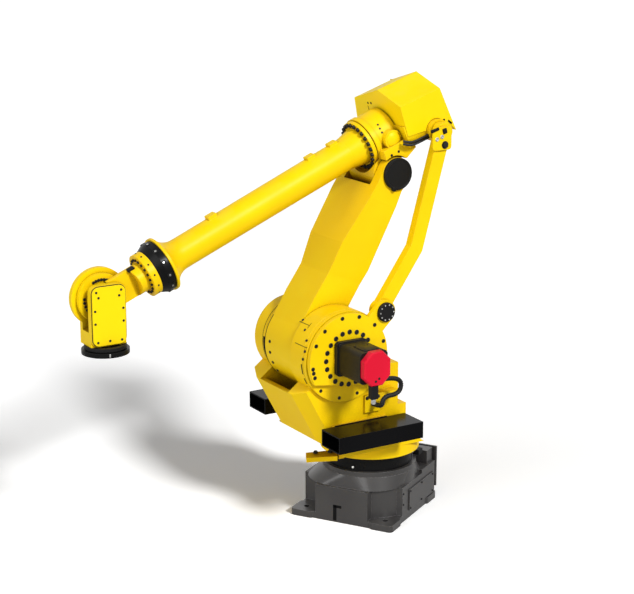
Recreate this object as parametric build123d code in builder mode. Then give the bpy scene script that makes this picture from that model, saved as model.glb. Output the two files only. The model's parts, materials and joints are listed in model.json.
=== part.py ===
import os
from math import cos, radians, sin

from build123d import *

# Heavy six axis handling robot with a parallel link beside the upper arm.
# Millimetres, floor at zero, turning axis of the base at the origin.
# The arm points along +x in the plane y = 0 and the left side of the robot is +y.

# Main axes in the pose that is built
shoulder_x = 430.0
shoulder_z = 1240.0
upper_arm_length = 1215.0
upper_arm_lean = 22.9
elbow_offset = 206.0
forearm_length = 2060.0
forearm_droop = 23.1
crank_length = 383.0
crank_angle = 135.9
base_turn = 31.5

# Clearances
running_fit = 0.05
side_play = 6.0

# Base
skirt_side = 732.0
base_side = skirt_side + 25.0
foot_shift_x = -21.0
foot_shift_y = -46.0
pad_side = 170.0
pad_height = 46.0
pad_corner_r = 28.0
pocket_skin = 24.0
skirt_top = 247.0
notch_length = skirt_side * 0.26
notch_width = skirt_side * 0.235
shoulder_side = skirt_side - 40.0
shoulder_corner_r = 230.0
shoulder_top = 335.0
anchor_spacing = base_side - pad_side
anchor_hole_r = 19.0
dome_r = skirt_side * 0.434
dome_top = 368.0
rear_box_front = skirt_side * 0.2
rear_box_top = 272.0
tower_depth = 92.0
tower_width = skirt_side - 172.0
tower_shift = 66.0
tower_top = 365.0
panel_width = tower_width + 40.0
panel_low = 30.0
panel_thickness = 16.0
panel_gap = 24.0
rib_width = 40.0
side_cover_length = skirt_side * 0.55
side_cover_height = 150.0
side_cover_thickness = 8.0
side_cover_shift = skirt_side * 0.174
sensor_length = 60.0
sensor_width = 48.0
sensor_height = 34.0

# Slewing ring and turntable
ring_r = 291.0
ring_bottom = dome_top
ring_top = 462.0
spigot_r = 180.0
spigot_depth = 70.0
disc_r = 336.0
disc_bottom = ring_top + side_play
disc_top = 545.0
table_half_width = 335.0
slot_half_width = 178.0
hub_boss_r = 303.0
far_boss_r = 265.0
far_boss_depth = 20.0
front_top_x = 752.0
front_top_z = 1000.0
front_low_x = 562.0
front_low_z = 649.0
front_foot_x = disc_r + 64.0
front_wall = 42.0
nose_half_width = 225.0
nose_chamfer_depth = 57.0
rear_x = 0.0
rear_top_z = 1105.0
rear_step_x = -65.0
rear_step_z = 840.0
rear_foot_x = -215.0
slot_floor_z = 815.0
rear_wall = 60.0
drive_boss_r = 300.0
drive_boss_depth = 32.0
relief_y = 268.0
relief_z = 940.0
relief_x = 205.0
rear_block_x = -46.0
stop_thickness = 32.0
stop_drop = 45.0
hose_bracket_length = 117.0
hose_bracket_height = 116.0
hose_bracket_depth = 20.0
hose_bracket_x = 212.0
hose_bracket_z = 886.0

# Fork pockets
pocket_length = 643.0
pocket_width = 215.0
pocket_height = 110.0
pocket_wall = 8.0
pocket_bottom = 671.0
pocket_front_x = 608.0
pocket_inner_y = table_half_width + 30.0
pocket_pad_length = 420.0
pocket_pad_inset = 90.0

# Upper arm
hub_r = 288.0
hub_half_width = slot_half_width - side_play
trunnion_r = 120.0
trunnion_length = 60.0
arm_flare_at = upper_arm_length * 0.2305
arm_flare_front = 246.0
arm_root_at = upper_arm_length * 0.381
arm_root_front = 206.0
arm_waist_at = upper_arm_length * 0.5597
arm_waist_front = 200.0
arm_neck_at = upper_arm_length - 95.0
arm_neck_front = 115.0
arm_neck_rear = 82.0
arm_back_at = upper_arm_length * 0.4634
arm_back_rear = 74.0
arm_heel_at = upper_arm_length * 0.2593
arm_heel_rear = 30.0
ear_r = 106.0
ear_inner_y = 155.0
ear_outer_y = 230.0
ear_spread_at = upper_arm_length - 205.0
fork_throat_r = 172.0
elbow_pin_r = 70.0
elbow_cap_r = 104.0
elbow_cap_thickness = 20.0

# Crank and rear link
crank_inner_y = table_half_width + drive_boss_depth + side_play
crank_thickness = 35.0
crank_disc_r = 292.0
crank_cut_depth = 178.0
crank_cut_tilt = 8.4
crank_ear_r = 76.0
crank_bore_r = 112.0
crank_pin_r = 45.0
link_outer_y = crank_inner_y - side_play
link_thickness = 60.0
link_end_r = 60.0
link_width = 97.0
link_bow = 98.0
link_bow_share = 0.372
pin_cap_r = 63.0
pin_cap_thickness = 22.0
pin_plate_width = 145.0
pin_plate_height = 150.0
pin_plate_corner_r = 22.0
pin_plate_drop = 38.0
pin_plate_shift = 32.0
pin_plate_thickness = 12.0

# Drive motors
motor_rise = 12.0
motor_flange_side = 226.0
motor_flange_thickness = 30.0
motor_flange_corner_r = 24.0
motor_body_side = 206.0
motor_body_corner_r = 30.0
motor_body_length = 250.0
far_motor_length = 70.0
motor_cap_width = 196.0
motor_cap_side = 222.0
motor_cap_corner = 58.0
motor_cap_length = 46.0
connector_width = 50.0
connector_height = 84.0
connector_depth = 48.0
connector_shift = 17.0
hose_r = 16.0
hose_y = table_half_width + 135.0
hose_start_x = 352.0
hose_high_z = 1080.0
hose_rear_x = 69.0
hose_low_z = 962.0

# Elbow casing and hood
casing_boss_r = 125.0
housing_r = 165.0
housing_rear = 145.0
collar_r = 174.0
collar_length = 34.0
flange_at = 40.0
web_front = 34.0
web_rear = 200.0
web_high = 30.0
web_low = 118.0
web_heel = 115.0
web_heel_low = 150.0
web_half_width = 225.0
side_boss_r = 62.0
side_boss_at = 75.0
side_boss_y = 205.0
box_front = 140.0
box_rear = 440.0
box_half_width = 262.0
box_low = 88.0
box_high = 60.0
hood_front = 172.0
hood_droop = 18.5
hood_length = 322.0
hood_ridge = 287.0
hood_ridge_y = 43.0
hood_near_y = 225.0
hood_near_drop = 92.0
hood_eave_front = 295.0
hood_eave_rear = 337.0
hood_far_y = 314.0
hood_far_drop = 90.0
hood_skirt_y = 350.0
hood_skirt_drop = 235.0
link_boss_r = 74.0
link_boss_root_y = 200.0

# Forearm and wrist
root_flange_r = 166.0
root_flange_length = 26.0
root_spigot_r = 120.0
root_spigot_length = 40.0
root_neck_r = 128.0
tube_start = 190.0
tube_start_r = 106.0
tube_end = 1500.0
tube_end_r = 100.0
flare_length = 119.0
wrist_flange_r = 178.0
wrist_flange_length = 16.0
wrist_ring_r = 166.0
wrist_ring_front_r = 143.0
wrist_ring_length = 90.0
neck_flange_r = 142.0
neck_flange_length = 50.0
neck_r = 92.0
neck_sweep_r = 226.0
neck_near_y = 16.0
knuckle_r = 154.0
knuckle_near_y = -30.0
knuckle_far_y = -61.0
hand_far_inner_y = knuckle_far_y - side_play
hand_far_outer_y = -103.0
hand_far_r = 185.0
hand_near_inner_y = neck_near_y + side_play
hand_near_outer_y = 62.0
hand_half_length = 117.0
hand_near_top = 104.0
hand_corner_r = 50.0
hand_low = 278.0
hand_bridge_top = 188.0
hand_hub_r = 100.0
wrist_pin_r = 60.0
cover_thickness = 10.0
cover_margin = 8.0
tool_ring_r = 130.0
tool_ring_length = 22.0
tool_stub_r = 100.0
tool_stub_length = 20.0
tool_flange_r = 148.0
tool_flange_thickness = 28.0
tool_bore_r = 50.0
tool_bolt_r = 125.0
tool_bolt_count = 10
tool_bolt_hole_r = 6.0
tool_spindle_r = 44.0
tool_spindle_length = 40.0
tube_pad_length = 62.0
tube_pad_width = 54.0
tube_pad_height = 14.0
tube_pad_first = 250.0
tube_pad_second = 430.0
tube_pad_third = 1210.0

# Frames of the moving pieces
arm_angle = 90.0 + upper_arm_lean
arm_dir = Vector(cos(radians(arm_angle)), 0, sin(radians(arm_angle)))
crank_vec = Vector(cos(radians(crank_angle)), 0, sin(radians(crank_angle))) * crank_length
fore_dir = Vector(cos(radians(forearm_droop)), 0, -sin(radians(forearm_droop)))
fore_up = Vector(sin(radians(forearm_droop)), 0, cos(radians(forearm_droop)))
shoulder = Vector(shoulder_x, 0, shoulder_z)
elbow = shoulder + arm_dir * upper_arm_length
crank_pin = shoulder + crank_vec
rear_pin = elbow + crank_vec
fore_origin = elbow + fore_up * elbow_offset
wrist = fore_origin + fore_dir * forearm_length
left = Vector(0, 1, 0)
right = Vector(0, -1, 0)
base_x = Vector(cos(radians(base_turn)), sin(radians(base_turn)), 0)
base_y = Vector(-sin(radians(base_turn)), cos(radians(base_turn)), 0)
base_plane = Plane(origin=(0, 0, 0), x_dir=base_x, z_dir=(0, 0, 1))
foot_plane = Plane(origin=base_x * foot_shift_x + base_y * foot_shift_y, x_dir=base_x, z_dir=(0, 0, 1))
side_plane = Plane(origin=(0, 0, 0), x_dir=(1, 0, 0), z_dir=right)
shoulder_plane = Plane(origin=shoulder, x_dir=(1, 0, 0), z_dir=right)
arm_plane = Plane(origin=shoulder, x_dir=arm_dir, z_dir=right)
elbow_plane = Plane(origin=elbow, x_dir=arm_dir, z_dir=right)
fore_plane = Plane(origin=fore_origin, x_dir=fore_dir, z_dir=right)
fore_axis = Axis(origin=fore_origin, direction=fore_dir)
wrist_plane = Plane(origin=wrist, x_dir=(1, 0, 0), z_dir=right)
link_dir = (rear_pin - crank_pin).normalized()
link_plane = Plane(origin=crank_pin, x_dir=link_dir, z_dir=right)
hood_dir = Vector(cos(radians(hood_droop)), 0, -sin(radians(hood_droop)))
hood_origin = fore_origin - fore_dir * hood_front + fore_up * hood_ridge + left * hood_ridge_y
flange_plane = Plane(origin=fore_origin + fore_dir * flange_at, x_dir=left, z_dir=fore_dir)
nose_slope = Vector(front_top_x - front_low_x, 0, front_top_z - front_low_z)
nose_plane = Plane(origin=(front_low_x, 0, front_low_z), x_dir=left, z_dir=nose_slope)
os.makedirs("parts", exist_ok=True)

# Base casting: four anchor pads, a skirt with front notches and rear pockets, a shoulder, a dome and a rear box
with BuildPart() as base_casting:
    with BuildSketch(foot_plane):
        with GridLocations(anchor_spacing, anchor_spacing, 2, 2):
            RectangleRounded(pad_side, pad_side, pad_corner_r)
    extrude(amount=pad_height)
    with BuildSketch(foot_plane):
        Rectangle(skirt_side, skirt_side)
    extrude(amount=skirt_top)
    with BuildSketch(foot_plane.offset(pad_height)):
        with Locations((skirt_side / 2, skirt_side / 2), (skirt_side / 2, -skirt_side / 2)):
            Rectangle(2 * notch_length, 2 * notch_width)
        with Locations((-skirt_side / 2, anchor_spacing / 2), (-skirt_side / 2, -anchor_spacing / 2)):
            Rectangle(2 * notch_length, pad_side - 2 * pocket_skin)
    extrude(amount=skirt_top - pad_height, mode=Mode.SUBTRACT)
    with BuildSketch(foot_plane.offset(skirt_top)):
        RectangleRounded(shoulder_side, shoulder_side, shoulder_corner_r)
    with BuildSketch(base_plane.offset(shoulder_top)):
        RectangleRounded(2 * dome_r, 2 * dome_r, dome_r * 0.97)
    loft()
    with BuildSketch(base_plane):
        Circle(dome_r)
    extrude(amount=dome_top)
    with BuildSketch(foot_plane.offset(skirt_top)):
        with Locations((-(skirt_side / 2 + rear_box_front) / 2, 0)):
            Rectangle(skirt_side / 2 - rear_box_front, skirt_side)
    extrude(amount=rear_box_top - skirt_top)
    with BuildSketch(foot_plane):
        with GridLocations(anchor_spacing, anchor_spacing, 2, 2):
            Circle(anchor_hole_r)
    extrude(amount=pad_height, mode=Mode.SUBTRACT)
    with BuildSketch(base_plane.offset(disc_bottom - spigot_depth - side_play)):
        Circle(spigot_r + running_fit)
    extrude(amount=spigot_depth, mode=Mode.SUBTRACT)
base_casting.part.label = "base_casting"
export_step(base_casting.part, "parts/base_casting.step")

# Side cover: flat plate screwed on the left face of the base
with BuildPart() as side_cover:
    with BuildSketch(foot_plane.offset(pad_height + side_cover_thickness)):
        with Locations((-side_cover_shift, (skirt_side + side_cover_thickness) / 2)):
            Rectangle(side_cover_length, side_cover_thickness)
    extrude(amount=side_cover_height)
side_cover.part.label = "side_cover"
export_step(side_cover.part, "parts/side_cover.step")

# Slewing ring: black ring between the base and the turntable
with BuildPart() as slewing_ring:
    with BuildSketch(base_plane.offset(ring_bottom)):
        Circle(ring_r)
        Circle(spigot_r + running_fit, mode=Mode.SUBTRACT)
    extrude(amount=ring_top - ring_bottom)
slewing_ring.part.label = "slewing_ring"
export_step(slewing_ring.part, "parts/slewing_ring.step")

# Connector tower: box with two ribs that carry the upright connector panel behind it
tower_x = -(skirt_side - tower_depth) / 2
with BuildPart() as connector_tower:
    with BuildSketch(foot_plane.offset(rear_box_top)):
        with Locations((tower_x, tower_shift)):
            Rectangle(tower_depth, tower_width)
    extrude(amount=tower_top - rear_box_top)
    add(base_casting.part, mode=Mode.SUBTRACT)
    with BuildSketch(foot_plane.offset(rear_box_top)):
        with Locations((tower_x - (tower_depth + panel_gap) / 2, tower_shift)):
            with GridLocations(panel_gap, tower_width / 2, 1, 2):
                Rectangle(panel_gap, rib_width)
    extrude(amount=tower_top - rear_box_top - rib_width)
connector_tower.part.label = "connector_tower"
export_step(connector_tower.part, "parts/connector_tower.step")

panel_x = tower_x - tower_depth / 2 - panel_gap - panel_thickness / 2
with BuildPart() as connector_panel:
    with BuildSketch(foot_plane.offset(pad_height + panel_low)):
        with Locations((panel_x, tower_shift)):
            Rectangle(panel_thickness, panel_width)
    extrude(amount=tower_top - pad_height - panel_low)
connector_panel.part.label = "connector_panel"
export_step(connector_panel.part, "parts/connector_panel.step")

# Sensor block beside the ring
with BuildPart() as ring_sensor:
    with BuildSketch(base_plane.offset(dome_top)):
        with Locations((-ring_r * 0.745, ring_r * 0.9)):
            Rectangle(sensor_length, sensor_width)
        Circle(ring_r + side_play / 2, mode=Mode.SUBTRACT)
    extrude(amount=sensor_height)
ring_sensor.part.label = "ring_sensor"
export_step(ring_sensor.part, "parts/ring_sensor.step")

# Turntable casting: disc, two cheeks with round shoulders, nose wall and rear wall
with BuildPart() as turntable_casting:
    with BuildSketch(Plane.XY.offset(disc_bottom)):
        Circle(disc_r)
    extrude(amount=disc_top - disc_bottom)
    with BuildSketch(Plane.XY.offset(disc_bottom)):
        Circle(spigot_r)
    extrude(amount=-spigot_depth)
    with BuildSketch(side_plane):
        with BuildLine():
            Polyline(
                (front_foot_x, disc_top),
                (front_low_x, front_low_z),
                (front_top_x, front_top_z),
                (shoulder_x, shoulder_z),
                (rear_x, rear_top_z),
                (rear_x, rear_step_z),
                (rear_step_x, rear_step_z),
                (rear_step_x, front_low_z),
                (rear_foot_x, disc_top),
                close=True,
            )
        make_face()
    extrude(amount=table_half_width, both=True)
    with BuildSketch(shoulder_plane):
        Circle(hub_boss_r)
    extrude(amount=-table_half_width)
    with BuildSketch(shoulder_plane):
        Circle(far_boss_r)
    extrude(amount=table_half_width)
    with BuildSketch(side_plane):
        with Locations(((rear_block_x + rear_wall) / 2, (rear_step_z + rear_top_z) / 2)):
            Rectangle(rear_wall - rear_block_x, rear_top_z - rear_step_z)
    extrude(amount=relief_y, both=True)
    with BuildSketch(side_plane):
        with BuildLine():
            Polyline(
                (rear_x + rear_wall, slot_floor_z),
                (front_low_x - front_wall, slot_floor_z),
                (front_top_x - front_wall, front_top_z),
                (shoulder_x + 2 * hub_boss_r, front_top_z),
                (shoulder_x + 2 * hub_boss_r, shoulder_z + 2 * hub_boss_r),
                (rear_x + rear_wall, shoulder_z + 2 * hub_boss_r),
                close=True,
            )
        make_face()
    extrude(amount=slot_half_width, both=True, mode=Mode.SUBTRACT)
    with BuildSketch(side_plane):
        with Locations((shoulder_x, shoulder_z)):
            Circle(hub_r + side_play)
    extrude(amount=slot_half_width, both=True, mode=Mode.SUBTRACT)
    with BuildSketch(side_plane.offset(-relief_y)):
        with Locations(((relief_x + 2 * rear_step_x) / 2, (relief_z + shoulder_z + hub_boss_r) / 2)):
            Rectangle(relief_x - 2 * rear_step_x, shoulder_z + hub_boss_r - relief_z)
        with Locations((shoulder_x, shoulder_z)):
            Circle(hub_boss_r, mode=Mode.SUBTRACT)
    extrude(amount=relief_y - 2 * table_half_width, mode=Mode.SUBTRACT)
    with BuildSketch(nose_plane.offset(-stop_drop)):
        for side in (1, -1):
            with BuildLine():
                Polyline(
                    (side * nose_half_width, 0),
                    (side * table_half_width, 0),
                    (side * table_half_width, nose_chamfer_depth),
                    close=True,
                )
            make_face()
    extrude(amount=nose_slope.length + 2 * stop_drop, mode=Mode.SUBTRACT)
    with BuildSketch(shoulder_plane):
        Circle(trunnion_r + running_fit)
    extrude(amount=hub_half_width + trunnion_length + side_play, both=True, mode=Mode.SUBTRACT)
    with BuildSketch(shoulder_plane.offset(-table_half_width - drive_boss_depth)):
        Circle(drive_boss_r)
    extrude(amount=drive_boss_depth)
    with BuildSketch(shoulder_plane.offset(table_half_width)):
        Circle(far_boss_r - side_play)
    extrude(amount=far_boss_depth)
    pad_x = pocket_front_x - pocket_pad_inset - pocket_pad_length / 2
    pad_z = pocket_bottom + pocket_height / 2
    with BuildSketch(side_plane):
        with Locations((pad_x, pad_z)):
            Rectangle(pocket_pad_length, pocket_height)
    extrude(amount=pocket_inner_y, both=True)
    spindle_y = crank_inner_y + crank_thickness + side_play
    with BuildSketch(shoulder_plane.offset(-spindle_y)):
        Circle(crank_bore_r - running_fit)
    extrude(amount=spindle_y - table_half_width)
turntable_casting.part.label = "turntable_casting"
export_step(turntable_casting.part, "parts/turntable_casting.step")

# Turning stop: plate under the nose that meets the stop of the base
with BuildPart() as turning_stop:
    with BuildSketch(Plane.XY.offset(disc_top - stop_drop)):
        with BuildLine():
            Polyline(
                (front_foot_x * 0.896, front_foot_x * 0.378),
                (front_foot_x * 1.058, front_foot_x * 0.655),
                (front_foot_x * 1.537, front_foot_x * 0.462),
                (front_foot_x * 1.411, front_foot_x * 0.235),
                close=True,
            )
        make_face()
    extrude(amount=stop_thickness)
    with BuildSketch(Plane.XY.offset(disc_top - stop_drop)):
        with Locations((front_foot_x - stop_drop * 0.53, front_foot_x * 0.487)):
            Rectangle(stop_drop, 2 * stop_drop)
    extrude(amount=stop_drop)
turning_stop.part.label = "turning_stop"
export_step(turning_stop.part, "parts/turning_stop.step")

# Hose bracket on the left cheek
with BuildPart() as hose_bracket:
    with BuildSketch(side_plane.offset(-table_half_width)):
        with Locations((hose_bracket_x, hose_bracket_z)):
            Rectangle(hose_bracket_length, hose_bracket_height)
    extrude(amount=-hose_bracket_depth)
hose_bracket.part.label = "hose_bracket"
export_step(hose_bracket.part, "parts/hose_bracket.step")

# Fork pockets: rectangular tubes beside the turntable, open at both ends
pocket_mid_z = pocket_bottom + pocket_height / 2
pocket_mid_y = pocket_inner_y + pocket_width / 2
pocket_end = Plane(origin=(pocket_front_x, pocket_mid_y, pocket_mid_z), x_dir=left, z_dir=(1, 0, 0))
with BuildPart() as fork_pocket_left:
    with BuildSketch(pocket_end):
        Rectangle(pocket_width, pocket_height)
        Rectangle(pocket_width - 2 * pocket_wall, pocket_height - 2 * pocket_wall, mode=Mode.SUBTRACT)
    extrude(amount=-pocket_length)
fork_pocket_left.part.label = "fork_pocket_left"
export_step(fork_pocket_left.part, "parts/fork_pocket_left.step")

with BuildPart() as fork_pocket_right:
    add(mirror(fork_pocket_left.part, about=Plane.XZ))
fork_pocket_right.part.label = "fork_pocket_right"
export_step(fork_pocket_right.part, "parts/fork_pocket_right.step")

# Elbow drive motor on the left of the shoulder axis
motor_plane = Plane(origin=shoulder + Vector(0, 0, motor_rise), x_dir=(1, 0, 0), z_dir=right)
motor_face = motor_plane.offset(-spindle_y)
with BuildPart() as elbow_motor:
    with BuildSketch(motor_face):
        RectangleRounded(motor_flange_side, motor_flange_side, motor_flange_corner_r)
    extrude(amount=-motor_flange_thickness)
    with BuildSketch(motor_face.offset(-motor_flange_thickness)):
        RectangleRounded(motor_body_side, motor_body_side, motor_body_corner_r)
    extrude(amount=-motor_body_length)
elbow_motor.part.label = "elbow_motor"
export_step(elbow_motor.part, "parts/elbow_motor.step")

motor_end_y = spindle_y + motor_flange_thickness + motor_body_length
with BuildPart() as elbow_motor_cap:
    with BuildSketch(motor_plane.offset(-motor_end_y)):
        cap_square = Rectangle(motor_cap_width, motor_cap_side)
        chamfer(cap_square.vertices(), length=motor_cap_corner)
    extrude(amount=-motor_cap_length)
    chamfer(elbow_motor_cap.edges().group_by(Axis.Y)[-1], length=motor_cap_corner * 0.12)
elbow_motor_cap.part.label = "elbow_motor_cap"
export_step(elbow_motor_cap.part, "parts/elbow_motor_cap.step")

# Plug under the motor cap and the hose that loops from the motor to its bracket
with BuildPart() as motor_plug:
    with BuildSketch(Plane.XY.offset(shoulder_z + motor_rise - motor_cap_side / 2 - connector_height)):
        with Locations((shoulder_x + connector_shift, motor_end_y + motor_cap_length / 2)):
            RectangleRounded(connector_width, connector_depth, connector_width * 0.16)
    extrude(amount=connector_height)
motor_plug.part.label = "motor_plug"
export_step(motor_plug.part, "parts/motor_plug.step")

hose_end_y = table_half_width + hose_bracket_depth
with BuildPart() as motor_hose:
    with BuildLine() as hose_path:
        FilletPolyline(
            (hose_start_x, hose_y, shoulder_z + motor_rise - motor_body_side / 2),
            (hose_start_x, hose_y, hose_high_z),
            (hose_rear_x, hose_y, hose_high_z),
            (hose_rear_x, hose_y, hose_low_z),
            (hose_bracket_x, hose_y, hose_low_z),
            (hose_bracket_x, hose_y, hose_bracket_z),
            (hose_bracket_x, hose_end_y, hose_bracket_z),
            radius=hose_r * 2.2,
        )
    with BuildSketch(Plane(origin=hose_path.line @ 0, z_dir=hose_path.line % 0)):
        Circle(hose_r)
    sweep(path=hose_path.line)
motor_hose.part.label = "motor_hose"
export_step(motor_hose.part, "parts/motor_hose.step")

# Shoulder drive motor on the right of the shoulder axis
far_motor_y = table_half_width + far_boss_depth
with BuildPart() as shoulder_motor:
    with BuildSketch(shoulder_plane.offset(far_motor_y)):
        RectangleRounded(motor_flange_side, motor_flange_side, motor_flange_corner_r)
    extrude(amount=motor_flange_thickness)
    with BuildSketch(shoulder_plane.offset(far_motor_y + motor_flange_thickness)):
        RectangleRounded(motor_body_side, motor_body_side, motor_body_corner_r)
    extrude(amount=far_motor_length)
shoulder_motor.part.label = "shoulder_motor"
export_step(shoulder_motor.part, "parts/shoulder_motor.step")

with BuildPart() as shoulder_motor_cap:
    with BuildSketch(shoulder_plane.offset(far_motor_y + motor_flange_thickness + far_motor_length)):
        far_square = Rectangle(motor_cap_width, motor_cap_side)
        chamfer(far_square.vertices(), length=motor_cap_corner)
    extrude(amount=motor_cap_length)
    chamfer(shoulder_motor_cap.edges().group_by(Axis.Y)[0], length=motor_cap_corner * 0.12)
shoulder_motor_cap.part.label = "shoulder_motor_cap"
export_step(shoulder_motor_cap.part, "parts/shoulder_motor_cap.step")

# Upper arm: box casting from the round hub to the forked elbow
arm_normal = Vector(-sin(radians(arm_angle)), 0, cos(radians(arm_angle)))
with BuildPart() as upper_arm:
    with BuildSketch(arm_plane):
        Circle(hub_r)
        with BuildLine():
            Polyline(
                (0, -hub_r),
                (arm_flare_at, -arm_flare_front),
                (arm_root_at, -arm_root_front),
                (arm_waist_at, -arm_waist_front),
                (arm_neck_at, -arm_neck_front),
                (upper_arm_length, -ear_r),
                (upper_arm_length, ear_r),
                (arm_neck_at, arm_neck_rear),
                (arm_back_at, arm_back_rear),
                (arm_heel_at, arm_heel_rear),
                (0, 0),
                close=True,
            )
        make_face()
        with Locations((upper_arm_length, 0)):
            Circle(ear_r)
    extrude(amount=ear_outer_y, both=True)
    with BuildSketch(Plane(origin=shoulder, x_dir=arm_dir, z_dir=arm_normal)):
        for side in (1, -1):
            with BuildLine():
                Polyline(
                    (-hub_r, side * hub_half_width),
                    (arm_root_at, side * hub_half_width),
                    (ear_spread_at, side * ear_outer_y),
                    (ear_spread_at, side * 2 * ear_outer_y),
                    (-hub_r, side * 2 * ear_outer_y),
                    close=True,
                )
            make_face()
    extrude(amount=2 * hub_r, both=True, mode=Mode.SUBTRACT)
    with BuildSketch(elbow_plane):
        Circle(fork_throat_r)
        with Locations((fork_throat_r, 0)):
            Rectangle(2 * fork_throat_r, 2 * fork_throat_r)
    extrude(amount=ear_inner_y, both=True, mode=Mode.SUBTRACT)
    with BuildSketch(elbow_plane):
        Circle(elbow_pin_r + running_fit)
    extrude(amount=ear_outer_y, both=True, mode=Mode.SUBTRACT)
    with BuildSketch(arm_plane):
        Circle(trunnion_r)
    extrude(amount=hub_half_width + trunnion_length, both=True)
upper_arm.part.label = "upper_arm"
export_step(upper_arm.part, "parts/upper_arm.step")

# Crank: plate on the shoulder axis with a chord cut below and an ear that carries the pin of the rear link
crank_outer_y = crank_inner_y + crank_thickness
with BuildPart() as crank_plate:
    with BuildSketch(shoulder_plane.offset(-crank_outer_y)):
        Circle(crank_disc_r)
        with Locations(Location((0, 0), crank_cut_tilt)):
            with Locations((0, -crank_cut_depth - crank_disc_r / 2)):
                Rectangle(2 * crank_disc_r, crank_disc_r, mode=Mode.SUBTRACT)
        with Locations(Location((0, 0), crank_angle)):
            with Locations((crank_length / 2, 0)):
                Rectangle(crank_length, 2 * crank_ear_r)
            with Locations((crank_length, 0)):
                Circle(crank_ear_r)
        Circle(crank_bore_r, mode=Mode.SUBTRACT)
    extrude(amount=crank_thickness)
    with BuildSketch(Plane(origin=crank_pin + left * crank_inner_y, x_dir=(1, 0, 0), z_dir=right)):
        Circle(crank_pin_r)
    extrude(amount=side_play + link_thickness)
crank_plate.part.label = "crank_plate"
export_step(crank_plate.part, "parts/crank_plate.step")

with BuildPart() as crank_pin_cap:
    with BuildSketch(Plane(origin=crank_pin + left * crank_outer_y, x_dir=(1, 0, 0), z_dir=left)):
        Circle(pin_cap_r)
    extrude(amount=pin_cap_thickness)
    fillet(crank_pin_cap.edges().group_by(Axis.Y)[-1], radius=pin_cap_thickness * 0.3)
crank_pin_cap.part.label = "crank_pin_cap"
export_step(crank_pin_cap.part, "parts/crank_pin_cap.step")

# Rear link: bowed bar between the crank pin and the pin on the elbow casing
bow_at = upper_arm_length * link_bow_share
with BuildPart() as rear_link:
    with BuildSketch(link_plane.offset(-link_outer_y)):
        with BuildLine():
            Polyline((0, 0), (bow_at, link_bow), (upper_arm_length, 0))
        trace(line_width=link_width)
        Circle(link_end_r)
        with Locations((upper_arm_length, 0)):
            Circle(link_end_r)
        with Locations((bow_at, link_bow)):
            Circle(link_width / 2)
        Circle(crank_pin_r + running_fit, mode=Mode.SUBTRACT)
        with Locations((upper_arm_length, 0)):
            Circle(crank_pin_r + running_fit, mode=Mode.SUBTRACT)
    extrude(amount=link_thickness)
rear_link.part.label = "rear_link"
export_step(rear_link.part, "parts/rear_link.step")

# Elbow casing: pivot boss between the fork ears, round housing, web, motor box and boss of the rear pin
link_inner_y = link_outer_y - link_thickness
pin_end_y = link_outer_y + side_play
with BuildPart() as elbow_casing:
    with BuildSketch(elbow_plane):
        Circle(casing_boss_r)
    extrude(amount=ear_inner_y - side_play, both=True)
    with BuildSketch(flange_plane):
        Circle(housing_r)
    extrude(amount=-housing_rear - flange_at)
    with BuildSketch(flange_plane):
        Circle(collar_r)
    extrude(amount=-collar_length)
    with BuildSketch(fore_plane):
        with BuildLine():
            Polyline(
                (web_front, -web_low),
                (web_front, -web_high),
                (-web_rear, -web_high),
                (-web_rear, -web_low),
                (-web_heel, -web_heel_low),
                close=True,
            )
        make_face()
        with Locations((0, -elbow_offset)):
            Circle(ear_r + 2 * side_play, mode=Mode.SUBTRACT)
    extrude(amount=web_half_width, both=True)
    with BuildSketch(fore_plane):
        with Locations((-side_boss_at, 0)):
            Circle(side_boss_r)
    extrude(amount=side_boss_y, both=True)
    with BuildSketch(fore_plane):
        with Locations((-(box_front + box_rear) / 2, (box_high - box_low) / 2)):
            Rectangle(box_rear - box_front, box_high + box_low)
    extrude(amount=box_half_width, both=True)
    with BuildSketch(Plane(origin=rear_pin + left * link_boss_root_y, x_dir=(1, 0, 0), z_dir=left)):
        Circle(link_boss_r)
    extrude(amount=link_inner_y - side_play - link_boss_root_y)
    with BuildSketch(Plane(origin=rear_pin + left * link_boss_root_y, x_dir=(1, 0, 0), z_dir=left)):
        Circle(crank_pin_r)
    extrude(amount=pin_end_y - link_boss_root_y)
    with BuildSketch(elbow_plane):
        Circle(elbow_pin_r)
    extrude(amount=ear_outer_y, both=True)
    with BuildSketch(flange_plane):
        Circle(root_spigot_r + running_fit)
    extrude(amount=-root_spigot_length - side_play, mode=Mode.SUBTRACT)
    with BuildSketch(flange_plane):
        Circle(root_flange_r + side_play)
    extrude(amount=casing_boss_r, mode=Mode.SUBTRACT)
elbow_casing.part.label = "elbow_casing"
export_step(elbow_casing.part, "parts/elbow_casing.step")

# Plate that holds the rear link on its pin
with BuildPart() as link_pin_plate:
    with BuildSketch(Plane(origin=rear_pin + left * pin_end_y, x_dir=(-1, 0, 0), z_dir=left)):
        with Locations((-pin_plate_shift, -pin_plate_drop)):
            RectangleRounded(pin_plate_width, pin_plate_height, pin_plate_corner_r)
    extrude(amount=pin_plate_thickness)
link_pin_plate.part.label = "link_pin_plate"
export_step(link_pin_plate.part, "parts/link_pin_plate.step")

# Black caps over the ends of the elbow pin
with BuildPart() as elbow_caps:
    with BuildSketch(elbow_plane.offset(-ear_outer_y - elbow_cap_thickness)):
        Circle(elbow_cap_r)
    extrude(amount=elbow_cap_thickness)
    with BuildSketch(elbow_plane.offset(ear_outer_y)):
        Circle(elbow_cap_r)
    extrude(amount=elbow_cap_thickness)
elbow_caps.part.label = "elbow_caps"
export_step(elbow_caps.part, "parts/elbow_caps.step")

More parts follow.
